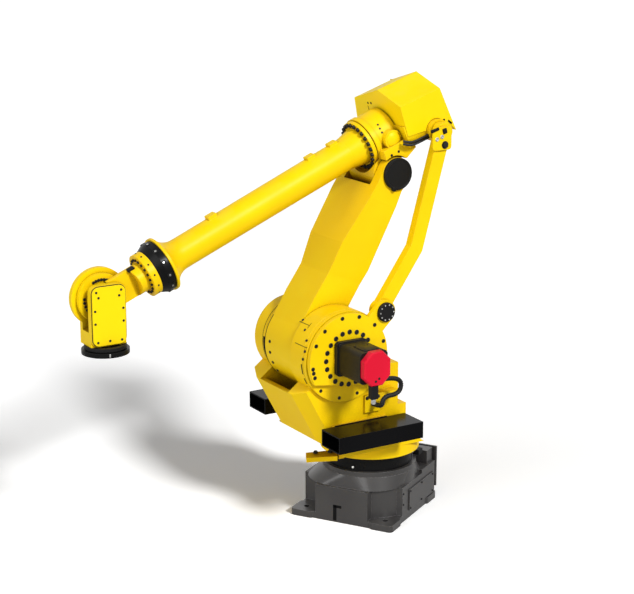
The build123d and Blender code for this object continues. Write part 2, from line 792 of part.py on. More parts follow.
# Hood over the wrist motors: folded sheet cover with a ridge and a long near side
with BuildPart() as motor_hood:
    with BuildSketch(Plane(origin=hood_origin, x_dir=left, z_dir=-hood_dir)):
        with BuildLine():
            Polyline(
                (0, 0),
                (hood_near_y, hood_near_drop),
                (hood_near_y, hood_eave_rear),
                (-hood_skirt_y, hood_eave_rear),
                (-hood_skirt_y, hood_skirt_drop),
                (-hood_far_y, hood_far_drop),
                close=True,
            )
        make_face()
    extrude(amount=hood_length)
    with BuildSketch(Plane(origin=hood_origin, x_dir=hood_dir, z_dir=right)):
        with BuildLine():
            Polyline(
                (hood_length, -hood_eave_front + (hood_eave_rear - hood_eave_front)),
                (-hood_length, -hood_eave_rear),
                (-2 * hood_length, -hood_eave_rear),
                (-2 * hood_length, -2 * hood_eave_rear),
                (hood_length, -2 * hood_eave_rear),
                close=True,
            )
        make_face()
    extrude(amount=2 * hood_skirt_y, both=True, mode=Mode.SUBTRACT)
    with BuildSketch(fore_plane):
        with Locations((-(box_front + 2 * box_rear) / 2, -hood_eave_rear / 2 + box_high)):
            Rectangle(2 * box_rear - box_front, hood_eave_rear)
    extrude(amount=box_half_width, both=True, mode=Mode.SUBTRACT)
    with BuildSketch(fore_plane.offset(box_half_width)):
        with Locations((-(box_front + 2 * box_rear) / 2, -hood_eave_rear / 2 + box_high - hood_far_drop * 0.6)):
            Rectangle(2 * box_rear - box_front, hood_eave_rear)
    extrude(amount=box_half_width, mode=Mode.SUBTRACT)
    with BuildSketch(Plane(origin=rear_pin, x_dir=(1, 0, 0), z_dir=left)):
        Circle(link_boss_r + side_play / 2)
    extrude(amount=link_inner_y, mode=Mode.SUBTRACT)
motor_hood.part.label = "motor_hood"
export_step(motor_hood.part, "parts/motor_hood.step")

# Forearm: turned tube with a root flange, a trumpet to the wrist flange and small pads on top
ring_start = tube_end + flare_length + wrist_flange_length
neck_start = ring_start + wrist_ring_length
with BuildPart() as forearm_tube:
    with BuildSketch(fore_plane):
        with BuildLine():
            Polyline(
                (tube_end, tube_end_r),
                (tube_start, tube_start_r),
                (flange_at + side_play + root_flange_length, root_neck_r),
                (flange_at + side_play + root_flange_length, root_flange_r),
                (flange_at + side_play, root_flange_r),
                (flange_at + side_play, root_spigot_r),
                (flange_at + side_play - root_spigot_length, root_spigot_r),
                (flange_at + side_play - root_spigot_length, 0),
                (ring_start, 0),
                (ring_start, wrist_flange_r),
                (ring_start - wrist_flange_length, wrist_flange_r),
            )
            TangentArc(
                (tube_end, tube_end_r),
                (ring_start - wrist_flange_length, wrist_flange_r),
                tangent=(1, 0),
            )
        make_face()
    revolve(axis=fore_axis)
    with BuildSketch(Plane(origin=fore_origin, x_dir=fore_dir, z_dir=fore_up)):
        with Locations((tube_pad_first, 0), (tube_pad_second, 0), (tube_pad_third, 0)):
            Rectangle(tube_pad_length, tube_pad_width)
    extrude(amount=tube_start_r + tube_pad_height)
forearm_tube.part.label = "forearm_tube"
export_step(forearm_tube.part, "parts/forearm_tube.step")

with BuildPart() as wrist_ring:
    with BuildSketch(Plane(origin=fore_origin + fore_dir * ring_start, x_dir=left, z_dir=fore_dir)):
        Circle(wrist_ring_r)
    extrude(amount=wrist_ring_length / 2)
    with BuildSketch(wrist_ring.faces().filter_by(GeomType.PLANE).sort_by(Axis.X)[-1]):
        Circle(wrist_ring_r)
    with BuildSketch(Plane(origin=fore_origin + fore_dir * neck_start, x_dir=left, z_dir=fore_dir)):
        Circle(wrist_ring_front_r)
    loft()
wrist_ring.part.label = "wrist_ring"
export_step(wrist_ring.part, "parts/wrist_ring.step")

# Wrist neck: flange, round neck and the knuckle disc between the cheeks of the hand
with BuildPart() as wrist_neck:
    with BuildSketch(Plane(origin=fore_origin + fore_dir * neck_start, x_dir=left, z_dir=fore_dir)):
        Circle(neck_flange_r)
    extrude(amount=neck_flange_length)
    with BuildSketch(Plane(origin=fore_origin + fore_dir * neck_start, x_dir=left, z_dir=fore_dir)):
        Circle(neck_r)
    extrude(amount=forearm_length - neck_start)
    with BuildSketch(wrist_plane.offset(-neck_near_y)):
        Circle(neck_sweep_r)
    extrude(amount=-neck_flange_r, mode=Mode.SUBTRACT)
    with BuildSketch(wrist_plane.offset(-knuckle_near_y)):
        Circle(hand_hub_r + side_play)
    extrude(amount=-neck_flange_r, mode=Mode.SUBTRACT)
    with BuildSketch(wrist_plane.offset(-knuckle_far_y)):
        Circle(neck_sweep_r)
    extrude(amount=neck_flange_r, mode=Mode.SUBTRACT)
    with BuildSketch(wrist_plane.offset(-knuckle_near_y)):
        Circle(knuckle_r)
    extrude(amount=knuckle_near_y - knuckle_far_y)
    with BuildSketch(wrist_plane):
        Circle(wrist_pin_r + running_fit)
    extrude(amount=neck_sweep_r, both=True, mode=Mode.SUBTRACT)
wrist_neck.part.label = "wrist_neck"
export_step(wrist_neck.part, "parts/wrist_neck.step")

# Hand: far cheek with a round head, near cheek, bridge below and the hub on the wrist pin
hand_mid_z = (hand_near_top - hand_low) / 2
with BuildPart() as hand_yoke:
    with BuildSketch(wrist_plane.offset(-hand_near_outer_y)):
        with Locations((0, hand_mid_z)):
            RectangleRounded(2 * hand_half_length, hand_near_top + hand_low, hand_corner_r)
    extrude(amount=hand_near_outer_y - hand_near_inner_y)
    with BuildSketch(wrist_plane.offset(-hand_far_inner_y)):
        Circle(hand_far_r)
        with Locations((0, -hand_low / 2)):
            Rectangle(2 * hand_half_length, hand_low)
    extrude(amount=hand_far_inner_y - hand_far_outer_y)
    with BuildSketch(wrist_plane.offset(-hand_near_outer_y + cover_thickness)):
        with Locations((0, -(hand_low + hand_bridge_top) / 2)):
            Rectangle(2 * hand_half_length, hand_low - hand_bridge_top)
    extrude(amount=hand_near_outer_y - cover_thickness - hand_far_outer_y)
    with BuildSketch(wrist_plane.offset(-hand_near_inner_y)):
        Circle(hand_hub_r)
    extrude(amount=hand_near_inner_y - knuckle_near_y - side_play)
    with BuildSketch(wrist_plane.offset(-hand_near_inner_y)):
        Circle(wrist_pin_r)
    extrude(amount=hand_near_inner_y - hand_far_inner_y)
    with BuildSketch(Plane.XY.offset(wrist.Z - hand_low)):
        with Locations((wrist.X, 0)):
            Circle(tool_spindle_r + running_fit)
    extrude(amount=tool_spindle_length + side_play, mode=Mode.SUBTRACT)
hand_yoke.part.label = "hand_yoke"
export_step(hand_yoke.part, "parts/hand_yoke.step")

with BuildPart() as hand_cover:
    with BuildSketch(wrist_plane.offset(-hand_near_outer_y - cover_thickness)):
        with Locations((0, hand_mid_z)):
            RectangleRounded(
                2 * hand_half_length - 2 * cover_margin,
                hand_near_top + hand_low - 2 * cover_margin,
                hand_corner_r - cover_margin,
            )
    extrude(amount=cover_thickness)
hand_cover.part.label = "hand_cover"
export_step(hand_cover.part, "parts/hand_cover.step")

# Seal ring under the hand
with BuildPart() as tool_ring:
    with BuildSketch(Plane.XY.offset(wrist.Z - hand_low)):
        with Locations((wrist.X, 0)):
            Circle(tool_ring_r)
            Circle(tool_stub_r + side_play, mode=Mode.SUBTRACT)
    extrude(amount=-tool_ring_length)
tool_ring.part.label = "tool_ring"
export_step(tool_ring.part, "parts/tool_ring.step")

# Tool flange: black disc on a short stub
stub_top = wrist.Z - hand_low - side_play
flange_face_z = stub_top - tool_stub_length - tool_flange_thickness
with BuildPart() as tool_flange:
    with BuildSketch(Plane.XY.offset(stub_top)):
        with Locations((wrist.X, 0)):
            Circle(tool_spindle_r)
    extrude(amount=tool_spindle_length)
    with BuildSketch(Plane.XY.offset(stub_top - tool_stub_length)):
        with Locations((wrist.X, 0)):
            Circle(tool_stub_r)
    extrude(amount=tool_stub_length)
    with BuildSketch(Plane.XY.offset(flange_face_z)):
        with Locations((wrist.X, 0)):
            Circle(tool_flange_r)
    extrude(amount=tool_flange_thickness)
    with BuildSketch(Plane.XY.offset(flange_face_z)):
        with Locations((wrist.X, 0)):
            Circle(tool_bore_r)
            with PolarLocations(tool_bolt_r, tool_bolt_count):
                Circle(tool_bolt_hole_r)
    extrude(amount=tool_flange_thickness, mode=Mode.SUBTRACT)
tool_flange.part.label = "tool_flange"
export_step(tool_flange.part, "parts/tool_flange.step")
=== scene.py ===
import json
from math import cos, pi, radians, sin

import bmesh
import bpy
from mathutils import Matrix, Vector


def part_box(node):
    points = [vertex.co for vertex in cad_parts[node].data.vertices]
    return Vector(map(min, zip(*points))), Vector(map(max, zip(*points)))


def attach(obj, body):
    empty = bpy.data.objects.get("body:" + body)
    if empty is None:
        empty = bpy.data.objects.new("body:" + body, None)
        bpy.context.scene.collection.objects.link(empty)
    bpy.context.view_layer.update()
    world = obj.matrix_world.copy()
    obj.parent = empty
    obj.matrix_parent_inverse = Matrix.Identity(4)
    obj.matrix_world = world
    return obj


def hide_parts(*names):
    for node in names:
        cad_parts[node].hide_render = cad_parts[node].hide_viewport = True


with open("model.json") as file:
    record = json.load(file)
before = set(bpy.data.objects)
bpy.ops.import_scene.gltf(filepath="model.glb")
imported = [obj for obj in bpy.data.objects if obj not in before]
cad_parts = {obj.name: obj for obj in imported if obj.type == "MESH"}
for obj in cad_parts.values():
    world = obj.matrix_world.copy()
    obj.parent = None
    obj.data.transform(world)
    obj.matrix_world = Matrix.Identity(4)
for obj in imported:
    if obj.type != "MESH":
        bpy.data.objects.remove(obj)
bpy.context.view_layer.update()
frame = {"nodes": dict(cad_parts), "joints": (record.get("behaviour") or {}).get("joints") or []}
nodes = frame["nodes"]
pivots = {joint["name"]: Vector(joint["pos_m"]) for joint in frame["joints"]}

# Base casting: the grey iron foot that stands on the floor and is bolted down by its corner pads.
# It is sand cast, so its skin is a little rough under a satin coat, and dust lies on its ledges.


class Channel:
    """A shader socket that takes part in sums: an expression on channels adds Math nodes."""

    def __init__(self, tree, socket):
        self.tree, self.socket = tree, socket

    def node(self, kind, inputs=None, output=0, **settings):
        """Any other node: its settings first, then its sockets."""
        made = self.tree.nodes.new(kind)
        for name, value in settings.items():
            setattr(made, name, value)
        for name, value in (inputs or {}).items():
            if isinstance(value, Channel):
                self.tree.links.new(value.socket, made.inputs[name])
            else:
                made.inputs[name].default_value = value
        return Channel(self.tree, made.outputs[output])

    def maths(self, operation, first, second):
        return self.node("ShaderNodeMath", {0: first, 1: second}, operation=operation)

    def __add__(self, other):
        return self.maths("ADD", self, other)

    __radd__ = __add__

    def __sub__(self, other):
        return self.maths("SUBTRACT", self, other)

    def __rsub__(self, other):
        return self.maths("SUBTRACT", other, self)

    def __mul__(self, other):
        return self.maths("MULTIPLY", self, other)

    __rmul__ = __mul__

    def above(self, low, high):
        """0 below low, 1 above high, smooth between."""
        sockets = {"Value": self, "From Min": low, "From Max": high}
        return self.node("ShaderNodeMapRange", sockets, interpolation_type="SMOOTHSTEP")

    def mixed(self, first, second):
        """A colour between two colours or colour channels, by this channel."""
        return self.node("ShaderNodeMix", {0: self, 6: first, 7: second}, output=2, data_type="RGBA")

    def noise(self, scale, detail=2.0, roughness=0.5):
        sockets = {"Vector": self, "Scale": scale, "Detail": detail, "Roughness": roughness}
        return self.node("ShaderNodeTexNoise", sockets)

    def feed(self, shader, name):
        self.tree.links.new(self.socket, shader.inputs[name])


def begin_finish(name):
    """A new material: its Principled shader and a channel of its Object coordinates."""
    material = bpy.data.materials.new(name)
    material.use_nodes = True
    tree = material.node_tree
    coordinates = tree.nodes.new("ShaderNodeTexCoord").outputs["Object"]
    return material, tree.nodes["Principled BSDF"], Channel(tree, coordinates)


def painted(
    name,
    fresh,
    deep,
    dust,
    worn_and_glint,
    rough,
    coat=0.0,
    shine=0.5,
    edge=0.004,
    skin=(420.0, 0.05),
    settle=0.3,
    rub_and_glint=0.7,
    hollow_shade=0.6,
    hollow=0.07,
):
    """Sprayed paint: cloudy tone, top dust, painted shade in hollows, edge wear, soft corners, grained
    skin.

    edge is the radius of the corners in metres, skin the scale and strength of the grain, hollow the depth
    in metres that is painted darker as shade; settle, rub and grime say how much dust, edge wear with
    painted highlight, and painted shade there is.
    """
    material, shader, place = begin_finish(name)
    cloud_scale, streak_scale, speck_scale = 2.2, 9.0, 60.0
    cloud = place.noise(cloud_scale, 3.0).above(0.3, 0.7)
    speck = place.noise(speck_scale, 4.0, 0.65)
    streak = place.noise(streak_scale, 5.0, 0.6)
    rounded = place.node("ShaderNodeBevel", {"Radius": edge}, samples=4)
    facing = place.node("ShaderNodeNewGeometry", output="Normal")
    both = {0: rounded, 1: facing}
    level = place.node("ShaderNodeVectorMath", both, output="Value", operation="DOT_PRODUCT")
    # Edge wear in patches along the edges; where its colour is pale, as on the base, it paints highlights
    # there too.
    rubbed_and_glinting = (1 - level).above(0.04, 0.25) * speck.above(0.38, 0.64) * rub_and_glint
    # Painted shade: the paint is darkened in hollows within the given depth, where shade falls.
    open_sky = place.node("ShaderNodeAmbientOcclusion", {"Distance": hollow}, output="AO", samples=4)
    shaded_hollows = (1 - open_sky).above(0.30, 0.95) * (0.6 + speck * 0.5) * hollow_shade
    upward = place.node("ShaderNodeSeparateXYZ", {0: rounded}, output=2).above(0.35, 0.95)
    settled = upward * streak.above(0.40, 0.70) * settle
    tone = cloud.mixed((*deep, 1), (*fresh, 1))
    dusty = settled.mixed(tone, (*dust, 1))
    # The dark tone of the painted shade in hollows.
    shade_shares = (0.22, 0.15, 0.22)
    shade_tone = (*(part * share for part, share in zip(deep, shade_shares)), 1)
    rubbed_and_glinting.mixed(shaded_hollows.mixed(dusty, shade_tone), (*worn_and_glint, 1)).feed(shader, "Base Color")
    (rough + speck * 0.10 + streak * 0.08 + settled * 0.4).feed(shader, "Roughness")
    grain_scale, grain_strength = skin
    grain_depth, coat_roughness = 0.001, 0.15
    grain = {"Height": place.noise(grain_scale), "Normal": rounded, "Strength": grain_strength}
    place.node("ShaderNodeBump", {**grain, "Distance": grain_depth}).feed(shader, "Normal")
    shader.inputs["Coat Weight"].default_value = coat
    shader.inputs["Coat Roughness"].default_value = coat_roughness
    shader.inputs["Specular IOR Level"].default_value = shine
    return material


def dress(material, *names):
    """Paint whole CAD pieces with one material."""
    for name in names:
        mesh = nodes[name].data
        mesh.materials.clear()
        mesh.materials.append(material)


# Its edge colour is pale, so it paints highlights along the edges as well as edge wear.
base_grey = painted(
    "base_grey_paint",
    fresh=(0.042, 0.040, 0.039),
    deep=(0.033, 0.031, 0.031),
    dust=(0.11, 0.105, 0.10),
    worn_and_glint=(0.30, 0.29, 0.28),
    rough=0.24,
    coat=0.25,
    shine=0.36,
    skin=(150.0, 0.10),
    rub_and_glint=0.8,
)
dress(base_grey, "base_casting")

# Cable slot of the base: an upside-down L through the front wall, for a lead to the floor.
# The real slot is cast in and dark inside; here a thin black inlay of its shape on the wall paints that
# shade.

FORWARD, LEFT, UP = Vector((1, 0, 0)), Vector((0, 1, 0)), Vector((0, 0, 1))


def stand(spot, out, along=None):
    """A place on a surface: Z points out of it and X runs along it."""
    out = Vector(out).normalized()
    if along is None:
        along = UP if abs(out.z) < 0.9 else FORWARD
    along = (along - out * along.dot(out)).normalized()
    return Matrix.Translation(spot) @ Matrix((along, out.cross(along), out)).transposed().to_4x4()


def keep(work, name):
    """A finished bmesh as a plain mesh with its faces turned outwards."""
    bmesh.ops.recalc_face_normals(work, faces=work.faces[:])
    mesh = bpy.data.meshes.new(name)
    work.to_mesh(mesh)
    work.free()
    return mesh


def block(name, length, width, height, round_edge):
    """A bar with rounded edges: length along X, width along Y, half of it sunk below its seat."""
    work = bmesh.new()
    bmesh.ops.create_cube(work, size=1.0, matrix=Matrix.Diagonal((length, width, 2 * height, 1)))
    bmesh.ops.bevel(
        work, geom=work.edges[:], offset=round_edge, segments=2, profile=0.5, affect="EDGES", material=-1
    )
    return keep(work, name)


def piece(name, body, finish, slot, *groups):
    """One object on a body from copies of kept shapes; each group is a shape and its places."""
    sharp_angle = radians(35)
    work = bmesh.new()
    for shape, places in groups:
        for place in places:
            known = len(work.verts)
            work.from_mesh(shape)
            work.verts.ensure_lookup_table()
            bmesh.ops.transform(work, matrix=place, verts=work.verts[known:])
    mesh = bpy.data.meshes.new(name)
    work.to_mesh(mesh)
    work.free()
    for face in mesh.polygons:
        face.use_smooth = True
    mesh.set_sharp_from_angle(angle=sharp_angle)
    mesh.materials.append(finish)
    thing = bpy.data.objects.new(name, mesh)
    bpy.context.scene.collection.objects.link(thing)
    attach(thing, body)
    return thing


def reach(name, direction):
    """How far a CAD piece goes in a direction, from the origin."""
    return max(vertex.co.dot(direction) for vertex in nodes[name].data.vertices)


base_turn = radians(31.5)
base_ahead = Vector((cos(base_turn), sin(base_turn), 0))
base_left = Vector((-sin(base_turn), cos(base_turn), 0))

shade_black = painted(
    "shade_black",
    fresh=(0.004, 0.004, 0.004),
    deep=(0.003, 0.003, 0.003),
    dust=(0.01, 0.01, 0.01),
    worn_and_glint=(0.02, 0.02, 0.02),
    rough=0.7,
    shine=0.1,
    edge=0.001,
)

slot_height, slot_width = 0.110, 0.026
slot_arm_height, slot_arm_length = 0.020, 0.062
inlay_height, inlay_edge = 0.0006, 0.0005
slot_upright = block("slot_upright", slot_height, slot_width, inlay_height, inlay_edge)
slot_arm = block("slot_arm", slot_arm_height, slot_arm_length, inlay_height, inlay_edge)
slot_wall, slot_edge = 0.345, -0.105
upright_level, arm_level = 0.065, 0.112
slot_foot = base_ahead * slot_wall + base_left * slot_edge
upright_spot = slot_foot + base_left * (slot_width / 2) + UP * upright_level
arm_spot = slot_foot + base_left * (slot_arm_length / 2) + UP * arm_level
piece(
    "base_cable_slot",
    "base",
    shade_black,
    "black_paint",
    (slot_upright, [stand(upright_spot, base_ahead)]),
    (slot_arm, [stand(arm_spot, base_ahead)]),
)

# Side cover and connector panel: folded sheet covers on the base, painted with it.
# Each is held by small socket screws near its edge, and the rear panel carries round sockets with caps.


def screw(name, radius, height):
    """A socket head screw: a turned head with a broken rim and a hollow in its top."""
    rim, wall, taper, hollow = radius * 0.16, radius * 0.32, radius * 0.05, height * 0.6
    work = bmesh.new()
    bmesh.ops.create_cone(
        work, cap_ends=True, segments=12, radius1=radius, radius2=radius, depth=2 * height
    )
    top = max(work.faces, key=lambda face: face.calc_center_median().z)
    bmesh.ops.bevel(
        work, geom=top.edges[:], offset=rim, segments=1, profile=0.5, affect="EDGES", material=-1
    )
    top = [max(work.faces, key=lambda face: face.calc_center_median().z)]
    bmesh.ops.inset_individual(work, faces=top, thickness=wall)
    bmesh.ops.inset_individual(work, faces=top, thickness=taper, depth=-hollow)
    return keep(work, name)


def turned(name, outline, sides=24):
    """A lathe shape: an outline of (radius, height) pairs turned about Z."""
    work = bmesh.new()
    points = [work.verts.new((radius, 0, height)) for radius, height in outline]
    lines = [work.edges.new(pair) for pair in zip(points, points[1:])]
    bmesh.ops.spin(
        work, geom=points + lines, axis=(0, 0, 1), cent=(0, 0, 0), angle=2 * pi, steps=sides, use_merge=True
    )
    bmesh.ops.remove_doubles(work, verts=work.verts[:], dist=1e-6)
    return keep(work, name)


black_screws = painted(
    "black_oxide_screws",
    fresh=(0.010, 0.010, 0.010),
    deep=(0.006, 0.006, 0.006),
    dust=(0.03, 0.03, 0.03),
    worn_and_glint=(0.10, 0.10, 0.10),
    rough=0.38,
    shine=0.25,
    edge=0.001,
)
black_plastic = painted(
    "black_plastic",
    fresh=(0.008, 0.008, 0.008),
    deep=(0.006, 0.006, 0.006),
    dust=(0.03, 0.03, 0.03),
    worn_and_glint=(0.03, 0.03, 0.03),
    rough=0.42,
    shine=0.15,
    skin=(700.0, 0.12),
)
dress(base_grey, "side_cover", "connector_tower", "connector_panel")

small_screw = screw("small_screw", 0.007, 0.005)
cover_face = reach("side_cover", base_left)
cover_front, cover_rear = reach("side_cover", base_ahead), -reach("side_cover", -base_ahead)
cover_low, cover_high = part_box("side_cover")[0].z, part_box("side_cover")[1].z
cover_edge = 0.014
cover_spots = [
    base_left * cover_face + base_ahead * ahead + UP * height
    for ahead in (cover_front - cover_edge, (cover_front + cover_rear) / 2, cover_rear + cover_edge)
    for height in (cover_low + cover_edge, cover_high - cover_edge)
]
wall_side, wall_along, wall_levels = 0.320, 0.141, (0.124, 0.200)
wall_foot = base_left * wall_side + base_ahead * wall_along
wall_spots = [wall_foot + UP * height for height in wall_levels]
piece(
    "side_cover_screws",
    "base",
    black_screws,
    "black_paint",
    (small_screw, [stand(spot, base_left) for spot in cover_spots + wall_spots]),
)

panel_face = reach("connector_panel", -base_ahead)
panel_low, panel_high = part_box("connector_panel")[0].z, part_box("connector_panel")[1].z
panel_left, panel_right = reach("connector_panel", base_left), -reach("connector_panel", -base_left)
panel_middle = (panel_left + panel_right) / 2
panel_height = (panel_low + panel_high) / 2
panel_centre = -base_ahead * panel_face + base_left * panel_middle + UP * panel_height
socket_pitch = 0.095
socket_outline = [
    (0.0, -0.0004),
    (0.036, -0.0004),
    (0.036, 0.0012),
    (0.029, 0.0016),
    (0.029, 0.0068),
    (0.026, 0.0074),
    (0.0, 0.0074),
]
socket = turned("socket", socket_outline)
socket_spots = [panel_centre + base_left * (step * socket_pitch) for step in (-2, -1, 0, 1, 2)]
socket_places = [stand(spot, -base_ahead) for spot in socket_spots]
piece("panel_sockets", "base", black_plastic, "black_plastic", (socket, socket_places))
panel_spots = [
    -base_ahead * panel_face + base_left * across + UP * height
    for across in (panel_left - cover_edge, panel_middle, panel_right + cover_edge)
    for height in (panel_low + cover_edge, panel_high - cover_edge)
]
flat_screw = screw("flat_screw", 0.006, 0.003)
piece(
    "panel_screws",
    "base",
    black_screws,
    "black_paint",
    (flat_screw, [stand(spot, -base_ahead) for spot in panel_spots]),
)

# Slewing ring and its sensor: a turned steel bearing ring in black gloss, greased through nipples.
# The nipples are bright zinc-plated steel and stand round the ring at one height.

black_enamel = painted(
    "black_enamel",
    fresh=(0.006, 0.006, 0.006),
    deep=(0.004, 0.004, 0.004),
    dust=(0.02, 0.02, 0.02),
    worn_and_glint=(0.03, 0.03, 0.03),
    rough=0.20,
    shine=0.10,
)
zinc, zinc_shader, zinc_place = begin_finish("zinc_plate")
zinc_cloud = zinc_place.noise(90.0, 3.0)
zinc_dull, zinc_bright = (0.52, 0.52, 0.50, 1), (0.68, 0.68, 0.66, 1)
zinc_cloud.above(0.3, 0.7).mixed(zinc_dull, zinc_bright).feed(zinc_shader, "Base Color")
(0.28 + zinc_cloud * 0.15).feed(zinc_shader, "Roughness")
zinc_grain = {"Height": zinc_place.noise(900.0), "Strength": 0.08, "Distance": 0.0005}
zinc_place.node("ShaderNodeBump", zinc_grain).feed(zinc_shader, "Normal")
zinc_shader.inputs["Metallic"].default_value = 1.0
dress(black_enamel, "slewing_ring")
dress(black_plastic, "ring_sensor")


def around(centre, first, second, radius, degrees):
    """Points on a circle and their outward directions, by angle from the first direction to the second."""
    outward = [cos(radians(angle)) * first + sin(radians(angle)) * second for angle in degrees]
    return [(centre + radius * out, out) for out in outward]


ring_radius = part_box("slewing_ring")[1].x
nipple_height = 0.392
nipple_outline = [
    (0.0, -0.003),
    (0.008, -0.003),
    (0.008, 0.006),
    (0.004, 0.008),
    (0.006, 0.014),
    (0.0, 0.017),
]
nipple = turned("nipple", nipple_outline, 10)
nipple_angles = (35, 155, 275)
nipple_spots = around(UP * nipple_height, FORWARD, LEFT, ring_radius, nipple_angles)
nipple_places = [stand(spot, out) for spot, out in nipple_spots]
piece("ring_grease_nipples", "base", zinc, "grey_paint", (nipple, nipple_places))

# Turntable casting: the yellow body that turns on the ring and carries the shoulder drums.
# It is cast iron, filled and sprayed in gloss enamel, with screwed drum covers and seams between them.

# Hollows up to 0.32 m deep are painted strongly darker on it, as shade.
yellow = painted(
    "yellow_enamel",
    fresh=(0.95, 0.66, 0.002),
    deep=(0.93, 0.60, 0.002),
    dust=(0.80, 0.62, 0.12),
    worn_and_glint=(0.97, 0.78, 0.10),
    rough=0.30,
    shine=0.11,
    settle=0.15,
    hollow_shade=1.1,
    hollow=0.32,
)
dress(yellow, "turntable_casting")

shoulder = pivots["j2_shoulder"]
drum_radius = 0.303
drum_screw = screw("drum_screw", 0.009, 0.004)
drum_screw_places = [(48.3, 0.174), (37.8, 0.261), (27.0, 0.330), (14.0, 0.348), (4.0, 0.338)]
drum_spots = [
    (spot + LEFT * side, out)
    for angle, side in drum_screw_places
    for spot, out in around(shoulder, FORWARD, UP, drum_radius, [angle])
]
piece(
    "near_drum_screws",
    "turntable",
    black_screws,
    "black_paint",
    (drum_screw, [stand(spot, out) for spot, out in drum_spots]),
)


def curved_bar(name, radius, width, height, degrees):
    """A strip bent round a drum: its section is swept about Y, between two angles above +X."""
    first, last = degrees
    step_degrees, fewest_steps = 4, 4
    work = bmesh.new()
    section = Matrix.Translation((radius, 0, 0)) @ Matrix.Diagonal((2 * height, width, 1, 1))
    start = Matrix.Rotation(-radians(first), 4, "Y") @ section
    bmesh.ops.create_grid(work, x_segments=1, y_segments=1, size=0.5, matrix=start)
    steps = max(fewest_steps, round(abs(last - first) / step_degrees))
    sweep = -radians(last - first)
    bmesh.ops.spin(work, geom=work.faces[:], axis=(0, 1, 0), cent=(0, 0, 0), angle=sweep, steps=steps)
    return keep(work, name)


far_drum_radius = 0.265
far_slot_width, near_slot_width, slot_rise = 0.050, 0.012, 0.0012
seam_width, seam_rise, seam_edge = 0.004, 0.0008, 0.0006
far_slot = curved_bar("far_slot", far_drum_radius, far_slot_width, slot_rise, (-29, 7))
near_slot = curved_bar("near_slot", drum_radius, near_slot_width, slot_rise, (-16, -3))
near_slot_low = curved_bar("near_slot_low", drum_radius, near_slot_width, slot_rise, (-30, -22))
seam = block("drum_seam", 0.145, seam_width, seam_rise, seam_edge)
seam_short = block("drum_seam_short", 0.122, seam_width, seam_rise, seam_edge)
seam_upright = curved_bar("seam_upright", drum_radius, seam_width, seam_rise, (41, 49))
far_seam = curved_bar("far_seam", far_drum_radius, seam_width, seam_rise, (-60, 130))
seam_spots = around(shoulder, FORWARD, UP, drum_radius, (19, 45))
(seam_spot, seam_out), (upper_spot, upper_out) = seam_spots
far_slot_side, far_seam_side, near_slot_side = -0.206, -0.240, 0.322
seam_side, seam_short_side, seam_upright_side = 0.290, 0.213, 0.275
near_slot_place = Matrix.Translation(shoulder + LEFT * near_slot_side)
# Black strips paint the shade inside the drum slots and along the seams.
piece(
    "drum_slots_and_seams",
    "turntable",
    shade_black,
    "black_paint",
    (far_slot, [Matrix.Translation(shoulder + LEFT * far_slot_side)]),
    (far_seam, [Matrix.Translation(shoulder + LEFT * far_seam_side)]),
    (near_slot, [near_slot_place]),
    (near_slot_low, [near_slot_place]),
    (seam, [stand(seam_spot + LEFT * seam_side, seam_out, LEFT)]),
    (seam_short, [stand(upper_spot + LEFT * seam_short_side, upper_out, LEFT)]),
    (seam_upright, [Matrix.Translation(shoulder + LEFT * seam_upright_side)]),
)

lip_face, lip_circle = 0.367, 0.274
lip_screw = screw("lip_screw", 0.012, 0.003)
lip_spots = around(shoulder + LEFT * lip_face, FORWARD, UP, lip_circle, (-47, -80, -109))
piece(
    "drive_boss_screws",
    "turntable",
    black_screws,
    "black_paint",
    (lip_screw, [stand(spot, LEFT) for spot, _ in lip_spots]),
)

# Turning stop and hose bracket: flame-cut steel plates bolted to the turntable and painted with it.
# The stop carries two black hexagon bolts with washers, the bracket two clamp screws.

dress(yellow, "turning_stop", "hose_bracket")


def hexagon_bolt(name, radius, height):
    """A hexagon bolt on a washer, with a chamfered top."""
    work = bmesh.new()
    washer_radius, chamfer = radius * 1.35, radius * 0.14
    for sides, wide, deep_share, middle_share in ((16, washer_radius, 0.3, 0.05), (6, radius, 0.8, 0.6)):
        middle = Matrix.Translation((0, 0, height * middle_share))
        depth = height * deep_share
        bmesh.ops.create_cone(
            work, cap_ends=True, segments=sides, radius1=wide, radius2=wide, depth=depth, matrix=middle
        )
    top = max(work.faces, key=lambda face: face.calc_center_median().z)
    bmesh.ops.bevel(
        work, geom=top.edges[:], offset=chamfer, segments=1, profile=0.5, affect="EDGES", material=-1
    )
    return keep(work, name)


stop_bolt = hexagon_bolt("stop_bolt", 0.013, 0.014)
stop_low, stop_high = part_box("turning_stop")
stop_middle = (stop_low + stop_high) / 2
stop_steps = ((-0.045, 0.018), (0.045, -0.018))
stop_spots = [stop_middle + Vector((across, side, 0)) for across, side in stop_steps]
stop_places = [stand(Vector((spot.x, spot.y, stop_high.z)), UP) for spot in stop_spots]
piece("turning_stop_bolts", "turntable", black_screws, "black_paint", (stop_bolt, stop_places))

bracket_low, bracket_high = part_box("hose_bracket")
bracket_middle = (bracket_low + bracket_high) / 2
clamp_step = 0.042
clamp_height = bracket_middle.z + clamp_step
bracket_spots = [
    Vector((bracket_middle.x + step, bracket_high.y, clamp_height)) for step in (-clamp_step, clamp_step)
]
clamp_screw = hexagon_bolt("clamp_screw", 0.010, 0.010)
piece(
    "hose_bracket_screws",
    "turntable",
    black_screws,
    "black_paint",
    (clamp_screw, [stand(spot, LEFT) for spot in bracket_spots]),
)

# Fork pockets: welded steel boxes, open at both ends, for the tines of a fork lift.
# They are sprayed in deep black gloss, and a fillet weld runs along the seam on the turntable.

pocket_black = painted(
    "pocket_black_gloss",
    fresh=(0.003, 0.003, 0.0035),
    deep=(0.002, 0.002, 0.0025),
    dust=(0.02, 0.019, 0.018),
    worn_and_glint=(0.035, 0.035, 0.035),
    rough=0.10,
    shine=0.08,
    settle=0.05,
)
dress(pocket_black, "fork_pocket_left", "fork_pocket_right")


